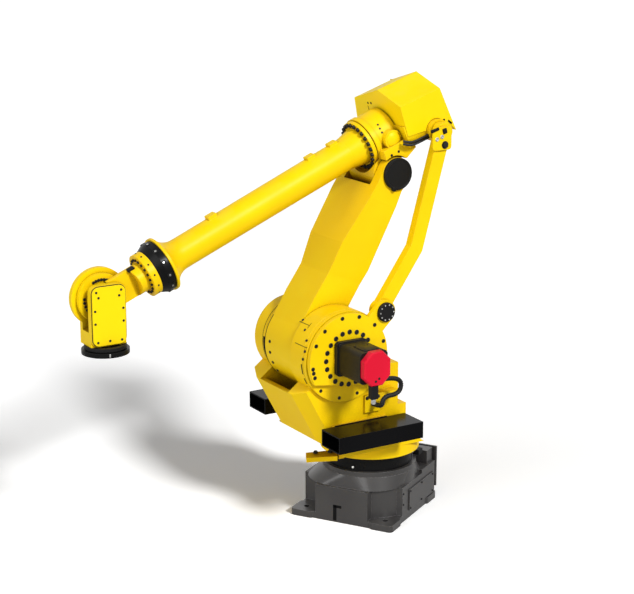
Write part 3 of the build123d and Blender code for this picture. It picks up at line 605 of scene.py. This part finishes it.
def weld_bead(name, length, radius, ripple):
    """A fillet weld: a bar of overlapping ripples along X, left by the torch."""
    low_radius, ripple_length = radius * 0.78, ripple * 1.02
    lying = Matrix.Rotation(pi / 2, 4, "Y")
    work = bmesh.new()
    for step in range(round(length / ripple)):
        bmesh.ops.create_cone(
            work,
            cap_ends=True,
            segments=8,
            radius1=radius,
            radius2=low_radius,
            depth=ripple_length,
            matrix=Matrix.Translation(((step + 0.5) * ripple - length / 2, 0, 0)) @ lying,
        )
    return keep(work, name)


bead = weld_bead("pocket_bead", 0.400, 0.006, 0.010)
bead_middle = 0.308
for side, name in ((1, "fork_pocket_left"), (-1, "fork_pocket_right")):
    low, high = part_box(name)
    inner = low.y if side > 0 else high.y
    bead_spots = [Vector((bead_middle, inner, height)) for height in (low.z, high.z)]
    bead_places = [stand(spot, LEFT * side, FORWARD) for spot in bead_spots]
    piece(name + "_welds", "turntable", pocket_black, "black_paint", (bead, bead_places))

# Drive motors: black servo motors with a square flange, one on each side of the shoulder.
# Four corner screws hold the flange, a low cover is screwed on top, and an eight-sided red cap ends it.

motor_black = painted(
    "motor_black",
    fresh=(0.012, 0.011, 0.010),
    deep=(0.008, 0.007, 0.006),
    dust=(0.04, 0.038, 0.035),
    worn_and_glint=(0.06, 0.06, 0.06),
    rough=0.30,
    shine=0.18,
    skin=(240.0, 0.10),
)
cap_red = painted(
    "motor_cap_red",
    fresh=(0.79, 0.007, 0.036),
    deep=(0.66, 0.005, 0.028),
    dust=(0.70, 0.10, 0.12),
    worn_and_glint=(0.92, 0.10, 0.14),
    rough=0.30,
    shine=0.16,
)
dress(motor_black, "elbow_motor", "shoulder_motor")
dress(cap_red, "elbow_motor_cap", "shoulder_motor_cap")

flange_thick = 0.030
flange_screw_inset = 0.020
flange_screw = screw("flange_screw", 0.010, 0.010)
cap_screw = screw("cap_screw", 0.0085, 0.002)
cap_screw_places = [(-0.011, -0.064), (0.014, -0.079)]
cover_screw = screw("cover_screw", 0.006, 0.0025)
cover_height = 0.006
cover_plate = block("motor_cover", 0.110, 0.130, cover_height, 0.003)
for side, motor in ((1, "elbow_motor"), (-1, "shoulder_motor")):
    low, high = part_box(motor)
    middle = (low + high) / 2
    out = LEFT * side
    flange_y = low.y + flange_thick if side > 0 else high.y - flange_thick
    half = (high.x - low.x) / 2 - flange_screw_inset
    flange_spots = [
        Vector((middle.x + across * half, flange_y, middle.z + up * half))
        for across in (-1, 1)
        for up in (-1, 1)
    ]
    flange_group = (flange_screw, [stand(spot, out) for spot in flange_spots])
    cap_low, cap_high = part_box(motor + "_cap")
    cap_y = cap_high.y if side > 0 else cap_low.y
    cap_spots = [Vector((middle.x + across, cap_y, middle.z + up)) for across, up in cap_screw_places]
    cap_group = (cap_screw, [stand(spot, out) for spot in cap_spots])
    piece(motor + "_screws", "turntable", black_screws, "black_paint", flange_group, cap_group)

elbow_motor_low, elbow_motor_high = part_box("elbow_motor")
motor_middle = (elbow_motor_low + elbow_motor_high) / 2
motor_half_height, cover_setback = 0.103, 0.090
cover_spot = Vector(
    (motor_middle.x, elbow_motor_high.y - cover_setback, motor_middle.z + motor_half_height)
)
cover_corners = [
    cover_spot + Vector((across, along, cover_height))
    for across in (-0.045, 0.045)
    for along in (-0.052, 0.052)
]
piece("motor_cover", "turntable", motor_black, "black_paint", (cover_plate, [stand(cover_spot, UP)]))
piece(
    "motor_cover_screws",
    "turntable",
    black_screws,
    "black_paint",
    (cover_screw, [stand(spot, UP) for spot in cover_corners]),
)

# Motor plug: a moulded black connector under the red cap, for the motor's own lead.
# A zinc-plated hexagon gland with a clamping nut is screwed into its lower end.

dress(black_plastic, "motor_plug")
plug_low, plug_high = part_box("motor_plug")
plug_foot = Vector(((plug_low.x + plug_high.x) / 2, (plug_low.y + plug_high.y) / 2, plug_low.z))
gland_hexagon = hexagon_bolt("gland_hexagon", 0.0155, 0.016)
nut_outline = [(0.0, 0.010), (0.016, 0.010), (0.016, 0.030), (0.012, 0.036), (0.0, 0.036)]
gland_nut = turned("gland_nut", nut_outline, 16)
piece(
    "motor_plug_gland",
    "turntable",
    zinc,
    "grey_paint",
    (gland_hexagon, [stand(plug_foot, -UP)]),
    (gland_nut, [stand(plug_foot, -UP)]),
)

# Motor hose: a ribbed black sleeve round the motor's leads, from under the motor to its bracket.
# It is moulded rubber with closed rings, pushed over a collar at both ends, and loops out to the rear.

hose_rubber = painted(
    "hose_rubber",
    fresh=(0.010, 0.010, 0.010),
    deep=(0.006, 0.006, 0.006),
    dust=(0.04, 0.038, 0.036),
    worn_and_glint=(0.03, 0.03, 0.03),
    rough=0.45,
    shine=0.3,
    edge=0.001,
)
dress(hose_rubber, "motor_hose")
hose_radius = 0.016
hose_side = 0.470
hose_route = [
    (0.352, hose_side, 1.149),
    (0.352, hose_side, 1.080),
    (0.069, hose_side, 1.080),
    (0.069, hose_side, 0.962),
    (0.212, hose_side, 0.962),
    (0.212, hose_side, 0.886),
    (0.212, 0.355, 0.886),
]


def smooth_line(name, route):
    """A route as one smooth spline."""
    line = bpy.data.curves.new(name, "CURVE")
    line.dimensions = "3D"
    spline = line.splines.new("NURBS")
    spline.points.add(len(route) - 1)
    for point, spot in zip(spline.points, route):
        point.co = (*spot, 1)
    spline.order_u = 3
    spline.use_endpoint_u = True
    spline.resolution_u = 24
    return line


def line_points(line):
    """Points read from a smooth spline, in order, as Blender draws it."""
    carrier = bpy.data.objects.new("line_reader", line)
    drawn = bpy.data.meshes.new_from_object(carrier)
    points = [vertex.co.copy() for vertex in drawn.vertices]
    bpy.data.objects.remove(carrier)
    bpy.data.meshes.remove(drawn)
    return points


hose_line = smooth_line("motor_hose_sleeve", hose_route)
hose_points = line_points(hose_line)
sleeve_share = 0.86
hose_line.bevel_depth = hose_radius * sleeve_share
hose_line.bevel_resolution = 3
hose_line.use_fill_caps = True
hose_line.materials.append(hose_rubber)
hose = bpy.data.objects.new("motor_hose_sleeve", hose_line)
bpy.context.scene.collection.objects.link(hose)
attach(hose, "turntable")
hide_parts("motor_hose")

rib_root = hose_radius * 0.8
rib_outline = [(rib_root, -0.0045), (hose_radius, -0.003), (hose_radius, 0.003), (rib_root, 0.0045)]
rib = turned("hose_rib", rib_outline + rib_outline[:1], 12)
rib_pitch = 0.0125
rib_places, gone = [], 0.0
for before, after in zip(hose_points, hose_points[1:]):
    run = (after - before).length
    while gone <= run:
        rib_places.append(stand(before.lerp(after, gone / run), after - before))
        gone += rib_pitch
    gone -= run
hose_ribs = piece("motor_hose_ribs", "turntable", hose_rubber, "black_rubber", (rib, rib_places))

# Upper arm: one hollow iron casting from the shoulder hub up to the elbow fork, painted yellow.
# Cover screws sit in the side of its hub, and black rings paint the shade in the gaps to the drums.

dress(yellow, "upper_arm")
hub_radius = 0.288
hub_side = -0.105
hub_screw = screw("hub_screw", 0.011, 0.005)
hub_angles = (5.6, -9.0, -24.0, -38.0)
hub_spots = around(shoulder + LEFT * hub_side, FORWARD, UP, hub_radius, hub_angles)
piece(
    "hub_cover_screws",
    "upper_arm",
    black_screws,
    "black_paint",
    (hub_screw, [stand(spot, out) for spot, out in hub_spots]),
)

# Thin black rings in the gaps between hub and drums paint the shade there.
hub_half, gap_width = 0.172, 0.006
gap_inner, gap_outer = hub_radius - 0.002, hub_radius + 0.0006
gap_outline = [(gap_inner, 0), (gap_outer, 0), (gap_outer, gap_width), (gap_inner, gap_width)]
gap_ring = turned("hub_gap", gap_outline + gap_outline[:1], 96)
gap_places = [stand(shoulder + out * (hub_half - gap_width), out) for out in (LEFT, -LEFT)]
piece("hub_gap_shade_rings", "upper_arm", shade_black, "black_paint", (gap_ring, gap_places))

# Crank: a yellow steel disc on the reducer of the elbow drive, with an ear for the lower pin of the link.
# Two rings of black screws hold it to the reducer, and a ribbed black cap is screwed over the pin.

dress(yellow, "crank_plate")
dress(black_plastic, "crank_pin_cap")
crank_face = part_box("crank_plate")[1].y
rim_screw = screw("rim_screw", 0.013, 0.005)
reducer_screw = screw("reducer_screw", 0.0165, 0.005)
rim_circle, reducer_circle, pin_cap_circle = 0.272, 0.173, 0.050
rim_angles = (164, 135, 106, 79, 48, 25, -7, -13, -20)
rim_spots = around(shoulder + LEFT * crank_face, FORWARD, UP, rim_circle, rim_angles)
reducer_spots = around(shoulder + LEFT * crank_face, FORWARD, UP, reducer_circle, range(1, 361, 18))
piece(
    "crank_screws",
    "crank",
    black_screws,
    "black_paint",
    (rim_screw, [stand(spot, LEFT) for spot, _ in rim_spots]),
    (reducer_screw, [stand(spot, LEFT) for spot, _ in reducer_spots]),
)

crank_pin = pivots["link_crank_pin"]
pin_cap_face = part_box("crank_pin_cap")[1].y
pin_cap_screw = screw("pin_cap_screw", 0.005, 0.0025)
pin_cap_middle = Vector((crank_pin.x, pin_cap_face, crank_pin.z))
pin_cap_spots = around(pin_cap_middle, FORWARD, UP, pin_cap_circle, range(0, 360, 36))
piece(
    "crank_pin_cap_screws",
    "crank",
    zinc,
    "grey_paint",
    (pin_cap_screw, [stand(spot, LEFT) for spot, _ in pin_cap_spots]),
)

# Rear link: a bowed cast bar that couples the crank to the elbow casing, painted yellow.
# It turns on a pin at each end and is left plain between them.

dress(yellow, "rear_link")

# Elbow casing: the yellow casting round the root of the forearm, with its pivot between the arm's cheeks.
# A domed cover closes its side, small screws hold the housing, and black discs cover the pivot pins.

dress(yellow, "elbow_casing")
dress(black_plastic, "elbow_caps")
elbow = pivots["j3_elbow"]
fore_root = pivots["j4_roll"]
fore_ahead = (pivots["j5_bend"] - fore_root).normalized()
fore_up = fore_ahead.cross(LEFT).normalized()

boss_face, boss_setback = 0.205, 0.075
boss_middle = fore_root - fore_ahead * boss_setback
dome_outline = [
    (0.0, 0.018),
    (0.022, 0.016),
    (0.040, 0.010),
    (0.050, 0.003),
    (0.052, -0.003),
    (0.0, -0.003),
]
dome = turned("casing_dome", dome_outline, 32)
piece(
    "casing_dome",
    "casing",
    yellow,
    "yellow_paint",
    (dome, [stand(Vector((boss_middle.x, boss_face, boss_middle.z)), LEFT)]),
)

housing_radius = 0.165
housing_screw = screw("housing_screw", 0.007, 0.003)
housing_places = [(-0.048, 48), (-0.043, 58), (-0.041, 68), (-0.045, 80)]
housing_spots = [
    around(fore_root + fore_ahead * along, fore_up, LEFT, housing_radius, [angle])[0]
    for along, angle in housing_places
]
web_screw = screw("web_screw", 0.009, 0.003)
web_face = 0.225
web_spots = [Vector((-0.004, web_face, 2.481)), Vector((-0.058, web_face, 2.502))]
piece(
    "casing_screws",
    "casing",
    black_screws,
    "black_paint",
    (housing_screw, [stand(spot, out) for spot, out in housing_spots]),
    (web_screw, [stand(spot, LEFT) for spot in web_spots]),
)

cap_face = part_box("elbow_caps")[1].y
tab_outline = [(0.0, 0.004), (0.014, 0.004), (0.016, 0.002), (0.016, -0.018), (0.0, -0.018)]
cap_tab = turned("cap_tab", tab_outline, 16)
rim_inner, rim_outer, rim_height, rim_depth = 0.088, 0.102, 0.003, -0.002
rim_slope, rim_sink = 0.003, 0.0005
rim_outline = [
    (rim_inner, 0.0),
    (rim_inner + rim_slope, rim_height),
    (rim_outer - rim_slope, rim_height),
    (rim_outer, 0.0),
    (rim_outer, rim_depth),
    (rim_inner, rim_depth),
]
cap_rim = turned("cap_rim", rim_outline + rim_outline[:1], 48)
tab_circle, tab_angle = 0.100, -72
cap_middle = Vector((elbow.x, cap_face, elbow.z))
tab_spot = around(cap_middle, FORWARD, UP, tab_circle, [tab_angle])[0][0]
piece(
    "elbow_cap_rim",
    "casing",
    black_plastic,
    "black_plastic",
    (cap_rim, [stand(cap_middle - LEFT * rim_sink, LEFT)]),
    (cap_tab, [stand(tab_spot, LEFT)]),
)

# Pin plate: a steel plate over the upper pin of the link, bolted to the casing and painted yellow.
# Two bright screws and one large black bolt show on it.

dress(yellow, "link_pin_plate")
plate_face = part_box("link_pin_plate")[1].y
plate_screw = screw("plate_screw", 0.014, 0.006)
plate_bolt = hexagon_bolt("plate_bolt", 0.019, 0.014)
plate_spots = [Vector((-0.244, plate_face, 2.586)), Vector((-0.283, plate_face, 2.599))]
bolt_spot = Vector((-0.307, plate_face, 2.545))
piece(
    "pin_plate_screws",
    "casing",
    zinc,
    "grey_paint",
    (plate_screw, [stand(spot, LEFT) for spot in plate_spots]),
)
piece(
    "pin_plate_bolt",
    "casing",
    black_screws,
    "black_paint",
    (plate_bolt, [stand(bolt_spot, LEFT)]),
)

# Motor hood: a folded sheet cover over the wrist motors behind the forearm, sprayed in a lighter yellow.
# A wedge of sheet closes its low rear corner; latches, holes and slots show on its side and front.

hood_yellow = painted(
    "hood_yellow",
    fresh=(0.97, 0.72, 0.003),
    deep=(0.96, 0.67, 0.003),
    dust=(0.80, 0.66, 0.14),
    worn_and_glint=(0.98, 0.85, 0.15),
    rough=0.32,
    shine=0.11,
    settle=0.12,
)
dress(hood_yellow, "motor_hood")
hood_right, hood_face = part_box("motor_hood")[0].y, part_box("motor_hood")[1].y
tail_work = bmesh.new()
tail_corners = [(-0.3425, hood_right, 2.8945), (-0.480, hood_right, 2.613), (-0.4195, hood_right, 2.6630)]
tail_points = [tail_work.verts.new(corner) for corner in tail_corners]
tail_face = bmesh.ops.contextual_create(tail_work, geom=tail_points)["faces"]
tail_wall = bmesh.ops.extrude_face_region(tail_work, geom=tail_face)["geom"]
tail_moved = [part for part in tail_wall if isinstance(part, bmesh.types.BMVert)]
bmesh.ops.translate(tail_work, vec=LEFT * (hood_face - hood_right), verts=tail_moved)
hood_tail = keep(tail_work, "hood_tail")
piece("hood_tail", "casing", hood_yellow, "yellow_paint", (hood_tail, [Matrix.Identity(4)]))
hole_outline = [(0.0, 0.0012), (0.007, 0.0012), (0.009, 0.0), (0.009, -0.003), (0.0, -0.003)]
hood_hole = turned("hood_hole", hole_outline, 14)
hood_slot = block("hood_slot", 0.038, 0.014, 0.0012, 0.001)
hood_square = block("hood_square", 0.030, 0.034, 0.010, 0.004)
hood_latch = block("hood_latch", 0.062, 0.020, 0.008, 0.004)
latch_along = Vector((-0.070, 0, 0.020))
latch_spot, square_spot = Vector((-0.226, plate_face, 2.646)), Vector((-0.302, plate_face, 2.636))
piece(
    "hood_latch",
    "casing",
    black_plastic,
    "black_plastic",
    (hood_latch, [stand(latch_spot, LEFT, latch_along)]),
    (hood_square, [stand(square_spot, LEFT, latch_along)]),
)
hood_holes = [Vector((-0.341, hood_face, 2.669)), Vector((-0.380, hood_face, 2.686))]
hood_tilt = radians(18.5)
hood_ahead = Vector((cos(hood_tilt), 0, -sin(hood_tilt)))
hood_up = Vector((sin(hood_tilt), 0, cos(hood_tilt)))
hood_front = reach("motor_hood", hood_ahead)
front_marks = [(-0.043, -0.116, 2.775), (-0.041, -0.078, 2.779), (-0.054, -0.125, 2.740)]
front_spots = [
    hood_ahead * hood_front + hood_up * Vector(mark).dot(hood_up) + LEFT * mark[1] for mark in front_marks
]
*dot_spots, front_slot_spot = front_spots
hole_places = [stand(spot, LEFT) for spot in hood_holes] + [stand(spot, hood_ahead) for spot in dot_spots]
slot_spot, slot_along = Vector((-0.428, hood_face, 2.669)), Vector((0.8, 0, 0.6))
front_slot = block("hood_front_slot", 0.034, 0.006, 0.0012, 0.001)
# The holes and slots are thin black shapes that paint the shade inside them.
piece(
    "hood_holes",
    "casing",
    shade_black,
    "black_paint",
    (hood_hole, hole_places),
    (hood_slot, [stand(slot_spot, LEFT, slot_along)]),
    (front_slot, [stand(front_slot_spot, hood_ahead, hood_up)]),
)

# Hood loom: two black leads from the casing behind the forearm's flange to the lower edge of the hood.
# They are rubber-sheathed cables, stiff enough to hold their bow between their two ends.

loom_radius = 0.008
for drop, name in ((0.0, "hood_loom_upper"), (0.018, "hood_loom_lower")):
    loom_route = [
        (-0.066, 0.262, 2.572 - drop),
        (-0.104, 0.284, 2.563 - drop),
        (-0.150, 0.285, 2.570 - drop),
        (-0.200, 0.285, 2.587 - drop),
        (-0.240, 0.284, 2.600 - drop),
        (-0.268, 0.272, 2.606 - drop),
    ]
    loom_line = smooth_line(name, loom_route)
    loom_points = line_points(loom_line)
    loom_line.bevel_depth = loom_radius
    loom_line.bevel_resolution = 3
    loom_line.use_fill_caps = True
    loom_line.materials.append(hose_rubber)
    loom = bpy.data.objects.new(name, loom_line)
    bpy.context.scene.collection.objects.link(loom)
    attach(loom, "casing")

# Forearm: a long yellow tube with a root flange at the elbow and a flared end at the wrist.
# It is a casting turned at both ends, and a full ring of black screws holds its root flange.

dress(yellow, "forearm_tube")
flange_face, root_circle = 0.072, 0.150
root_screw = screw("root_screw", 0.0135, 0.014)
root_spots = around(fore_root + fore_ahead * flange_face, fore_up, LEFT, root_circle, range(0, 360, 15))
piece(
    "forearm_root_screws",
    "forearm",
    black_screws,
    "black_paint",
    (root_screw, [stand(spot, fore_ahead) for spot, _ in root_spots]),
)

# Wrist ring: a black turned ring where the wrist gearbox is flanged to the forearm.
# Low black seats stand round it, each with a zinc-plated screw.

dress(black_enamel, "wrist_ring")
notch_at, ring_face_radius = 1.669, 0.163
notch = block("ring_notch", 0.030, 0.022, 0.007, 0.002)
notch_screw = screw("notch_screw", 0.006, 0.0095)
notch_middle = fore_root + fore_ahead * notch_at
notch_spots = around(notch_middle, fore_up, LEFT, ring_face_radius, range(5, 365, 30))
piece(
    "wrist_ring_notches",
    "forearm",
    black_plastic,
    "black_plastic",
    (notch, [stand(spot, out, fore_ahead) for spot, out in notch_spots]),
)
piece(
    "wrist_ring_screws",
    "forearm",
    zinc,
    "grey_paint",
    (notch_screw, [stand(spot, out) for spot, out in notch_spots]),
)

# Wrist neck: the yellow casting between the ring and the hand, with a disc on which the hand bends.
# Black screws hold its flange and the bearing cover on the disc, and a lead enters by a black gland.

dress(yellow, "wrist_neck")
wrist = pivots["j5_bend"]
neck_flange = fore_root + fore_ahead * 1.775
neck_rim = fore_root + fore_ahead * 1.750
neck_circle, neck_rim_radius = 0.112, 0.142
neck_screw = screw("neck_screw", 0.0085, 0.010)
neck_spots = around(neck_flange, fore_up, LEFT, neck_circle, range(0, 360, 18))
flange_rim_spots = around(neck_rim, fore_up, LEFT, neck_rim_radius, range(20, 380, 30))
rim_dot = screw("neck_rim_screw", 0.006, 0.003)
knuckle_face, knuckle_circle = -0.030, 0.116
knuckle_screw = screw("knuckle_screw", 0.0095, 0.006)
knuckle_angles = [63 + step * 9 for step in range(6)] + [4 - step * 12 for step in range(6)]
knuckle_spots = around(wrist + LEFT * knuckle_face, FORWARD, UP, knuckle_circle, knuckle_angles)
piece(
    "wrist_neck_screws",
    "forearm",
    black_screws,
    "black_paint",
    (neck_screw, [stand(spot, fore_ahead) for spot, _ in neck_spots]),
    (rim_dot, [stand(spot, out) for spot, out in flange_rim_spots]),
    (knuckle_screw, [stand(spot, LEFT) for spot, _ in knuckle_spots]),
)
neck_radius, gland_angle = 0.092, 14
gland_block = block("neck_gland", 0.046, 0.034, 0.008, 0.003)
gland_middle = fore_root + fore_ahead * 1.836
gland_spot, gland_out = around(gland_middle, fore_up, LEFT, neck_radius, [gland_angle])[0]
piece(
    "wrist_neck_gland",
    "forearm",
    black_plastic,
    "black_plastic",
    (gland_block, [stand(gland_spot, gland_out, fore_ahead)]),
)

# Hand: the yellow yoke that bends on the wrist and carries the tool drive, closed by a flat side cover.
# The cover is a milled plate with rounded corners on a rubber gasket, with black screws along its edge.

dress(yellow, "hand_yoke")
dress(hood_yellow, "hand_cover")
hand_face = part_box("hand_cover")[1].y
hand_screw = screw("hand_screw", 0.0075, 0.004)
hand_rows = [(0.082, 0.066), (0.068, 0.032), (0.093, -0.049), (0.093, -0.129), (0.079, -0.246)]
hand_spots = [wrist + Vector((across * side, 0, up)) for across, up in hand_rows for side in (-1, 1)]
low_screw_drop = 0.244
hand_spots.append(wrist - UP * low_screw_drop)
piece(
    "hand_cover_screws",
    "hand",
    black_screws,
    "black_paint",
    (hand_screw, [stand(Vector((spot.x, hand_face, spot.z)), LEFT) for spot in hand_spots]),
)
hand_cover_low, hand_cover_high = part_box("hand_cover")
hand_cover_middle = (hand_cover_low + hand_cover_high) / 2
gasket_reach, gasket_height, gasket_corner = 0.005, 0.002, 0.047
gasket_work = bmesh.new()
gasket_size = hand_cover_high - hand_cover_low + Vector((2 * gasket_reach, 0, 2 * gasket_reach))
gasket_form = Matrix.Diagonal((gasket_size.x, 2 * gasket_height, gasket_size.z, 1))
bmesh.ops.create_cube(gasket_work, size=1.0, matrix=gasket_form)
corners = [
    edge for edge in gasket_work.edges if abs(edge.verts[0].co.y - edge.verts[1].co.y) > gasket_height
]
bmesh.ops.bevel(
    gasket_work, geom=corners, offset=gasket_corner, segments=8, profile=0.5, affect="EDGES", material=-1
)
gasket = keep(gasket_work, "cover_gasket")
gasket_place = Matrix.Translation((hand_cover_middle.x, hand_cover_low.y, hand_cover_middle.z))
piece("hand_cover_gasket", "hand", hose_rubber, "black_rubber", (gasket, [gasket_place]))

# Tool ring and tool flange: the black end of the hand, a seal ring above a turned steel flange.
# A pale index mark on the flange shows the zero of the last axis.

dress(black_plastic, "tool_ring")
dress(black_enamel, "tool_flange")
flange_low, flange_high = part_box("tool_flange")
flange_rim = (flange_high.y - flange_low.y) / 2
index_mark = block("index_mark", 0.020, 0.009, 0.0012, 0.001)
index_height, index_angle = 0.016, 76
index_level = Vector((wrist.x, wrist.y, flange_low.z + index_height))
index_spot, index_out = around(index_level, FORWARD, LEFT, flange_rim, [index_angle])[0]
piece("tool_index_mark", "tool", zinc, "grey_paint", (index_mark, [stand(index_spot, index_out, UP)]))

# Studio floor and light: a floor without end, a sun from the robot's left, a wide lamp ahead and a sky.
# The floor is plain white and keeps the shadow of the robot.

floor_mesh = bpy.data.meshes.new("floor")
floor_work = bmesh.new()
floor_half = 150.0
bmesh.ops.create_grid(floor_work, x_segments=1, y_segments=1, size=floor_half)
floor_work.to_mesh(floor_mesh)
floor_work.free()
floor = bpy.data.objects.new("floor", floor_mesh)
bpy.context.scene.collection.objects.link(floor)
floor_finish, floor_shader, floor_place = begin_finish("pale_floor")
seen = floor_place.node("ShaderNodeLightPath", output="Is Camera Ray")
floor_lit, floor_seen = (0.74, 0.74, 0.74, 1), (1.36, 1.36, 1.36, 1)
seen.mixed(floor_lit, floor_seen).feed(floor_shader, "Base Color")
floor_shader.inputs["Roughness"].default_value = 0.9
floor_shader.inputs["Specular IOR Level"].default_value = 0.0
floor_mesh.materials.append(floor_finish)

lamps = {"sun": (2.85, 11, (-0.085, 0.80, 0.595)), "fill": (2.5, 60, (0.95, 0.25, 0.09))}
for name, (energy, spread, towards) in lamps.items():
    lamp = bpy.data.objects.new(name, bpy.data.lights.new(name, "SUN"))
    lamp.data.energy = energy
    lamp.data.angle = radians(spread)
    lamp.rotation_mode = "QUATERNION"
    lamp.rotation_quaternion = Vector(towards).to_track_quat("Z", "Y")
    bpy.context.scene.collection.objects.link(lamp)

world = bpy.data.worlds.new("sky")
world.use_nodes = True
sky = world.node_tree
backing = sky.nodes["Background"]
backing.inputs["Color"].default_value = (1, 1, 1, 1)
rays = sky.nodes.new("ShaderNodeLightPath").outputs
direct = sum(Channel(sky, rays[name]) for name in ("Is Camera Ray", "Is Glossy Ray", "Is Transmission Ray"))
sky_level = 0.13
(direct.above(0.0, 1.0) * (1 - sky_level) + sky_level).feed(backing, "Strength")
bpy.context.scene.world = world
bpy.context.scene.view_settings.view_transform = "Standard"

# Camera: a long lens a little higher than the robot, ahead of it and on its left.
# Its place, direction and angle of view are those of the photograph.

camera = bpy.data.objects.new("camera", bpy.data.cameras.new("camera"))
turn, rise = radians(148.462), radians(14.429)
back = Vector((sin(turn) * cos(rise), -cos(turn) * cos(rise), sin(rise)))
camera.location = (6.0444, 9.1647, 4.3180)
camera.rotation_mode = "QUATERNION"
camera.rotation_quaternion = (-back).to_track_quat("-Z", "Y")
camera.data.sensor_fit = "HORIZONTAL"
camera.data.sensor_width = 36.0
focal_pixels, frame_pixels = 1700.0, 634.0
camera.data.lens = camera.data.sensor_width * focal_pixels / frame_pixels
camera.data.clip_end = 300.0
bpy.context.scene.collection.objects.link(camera)
bpy.context.scene.camera = camera
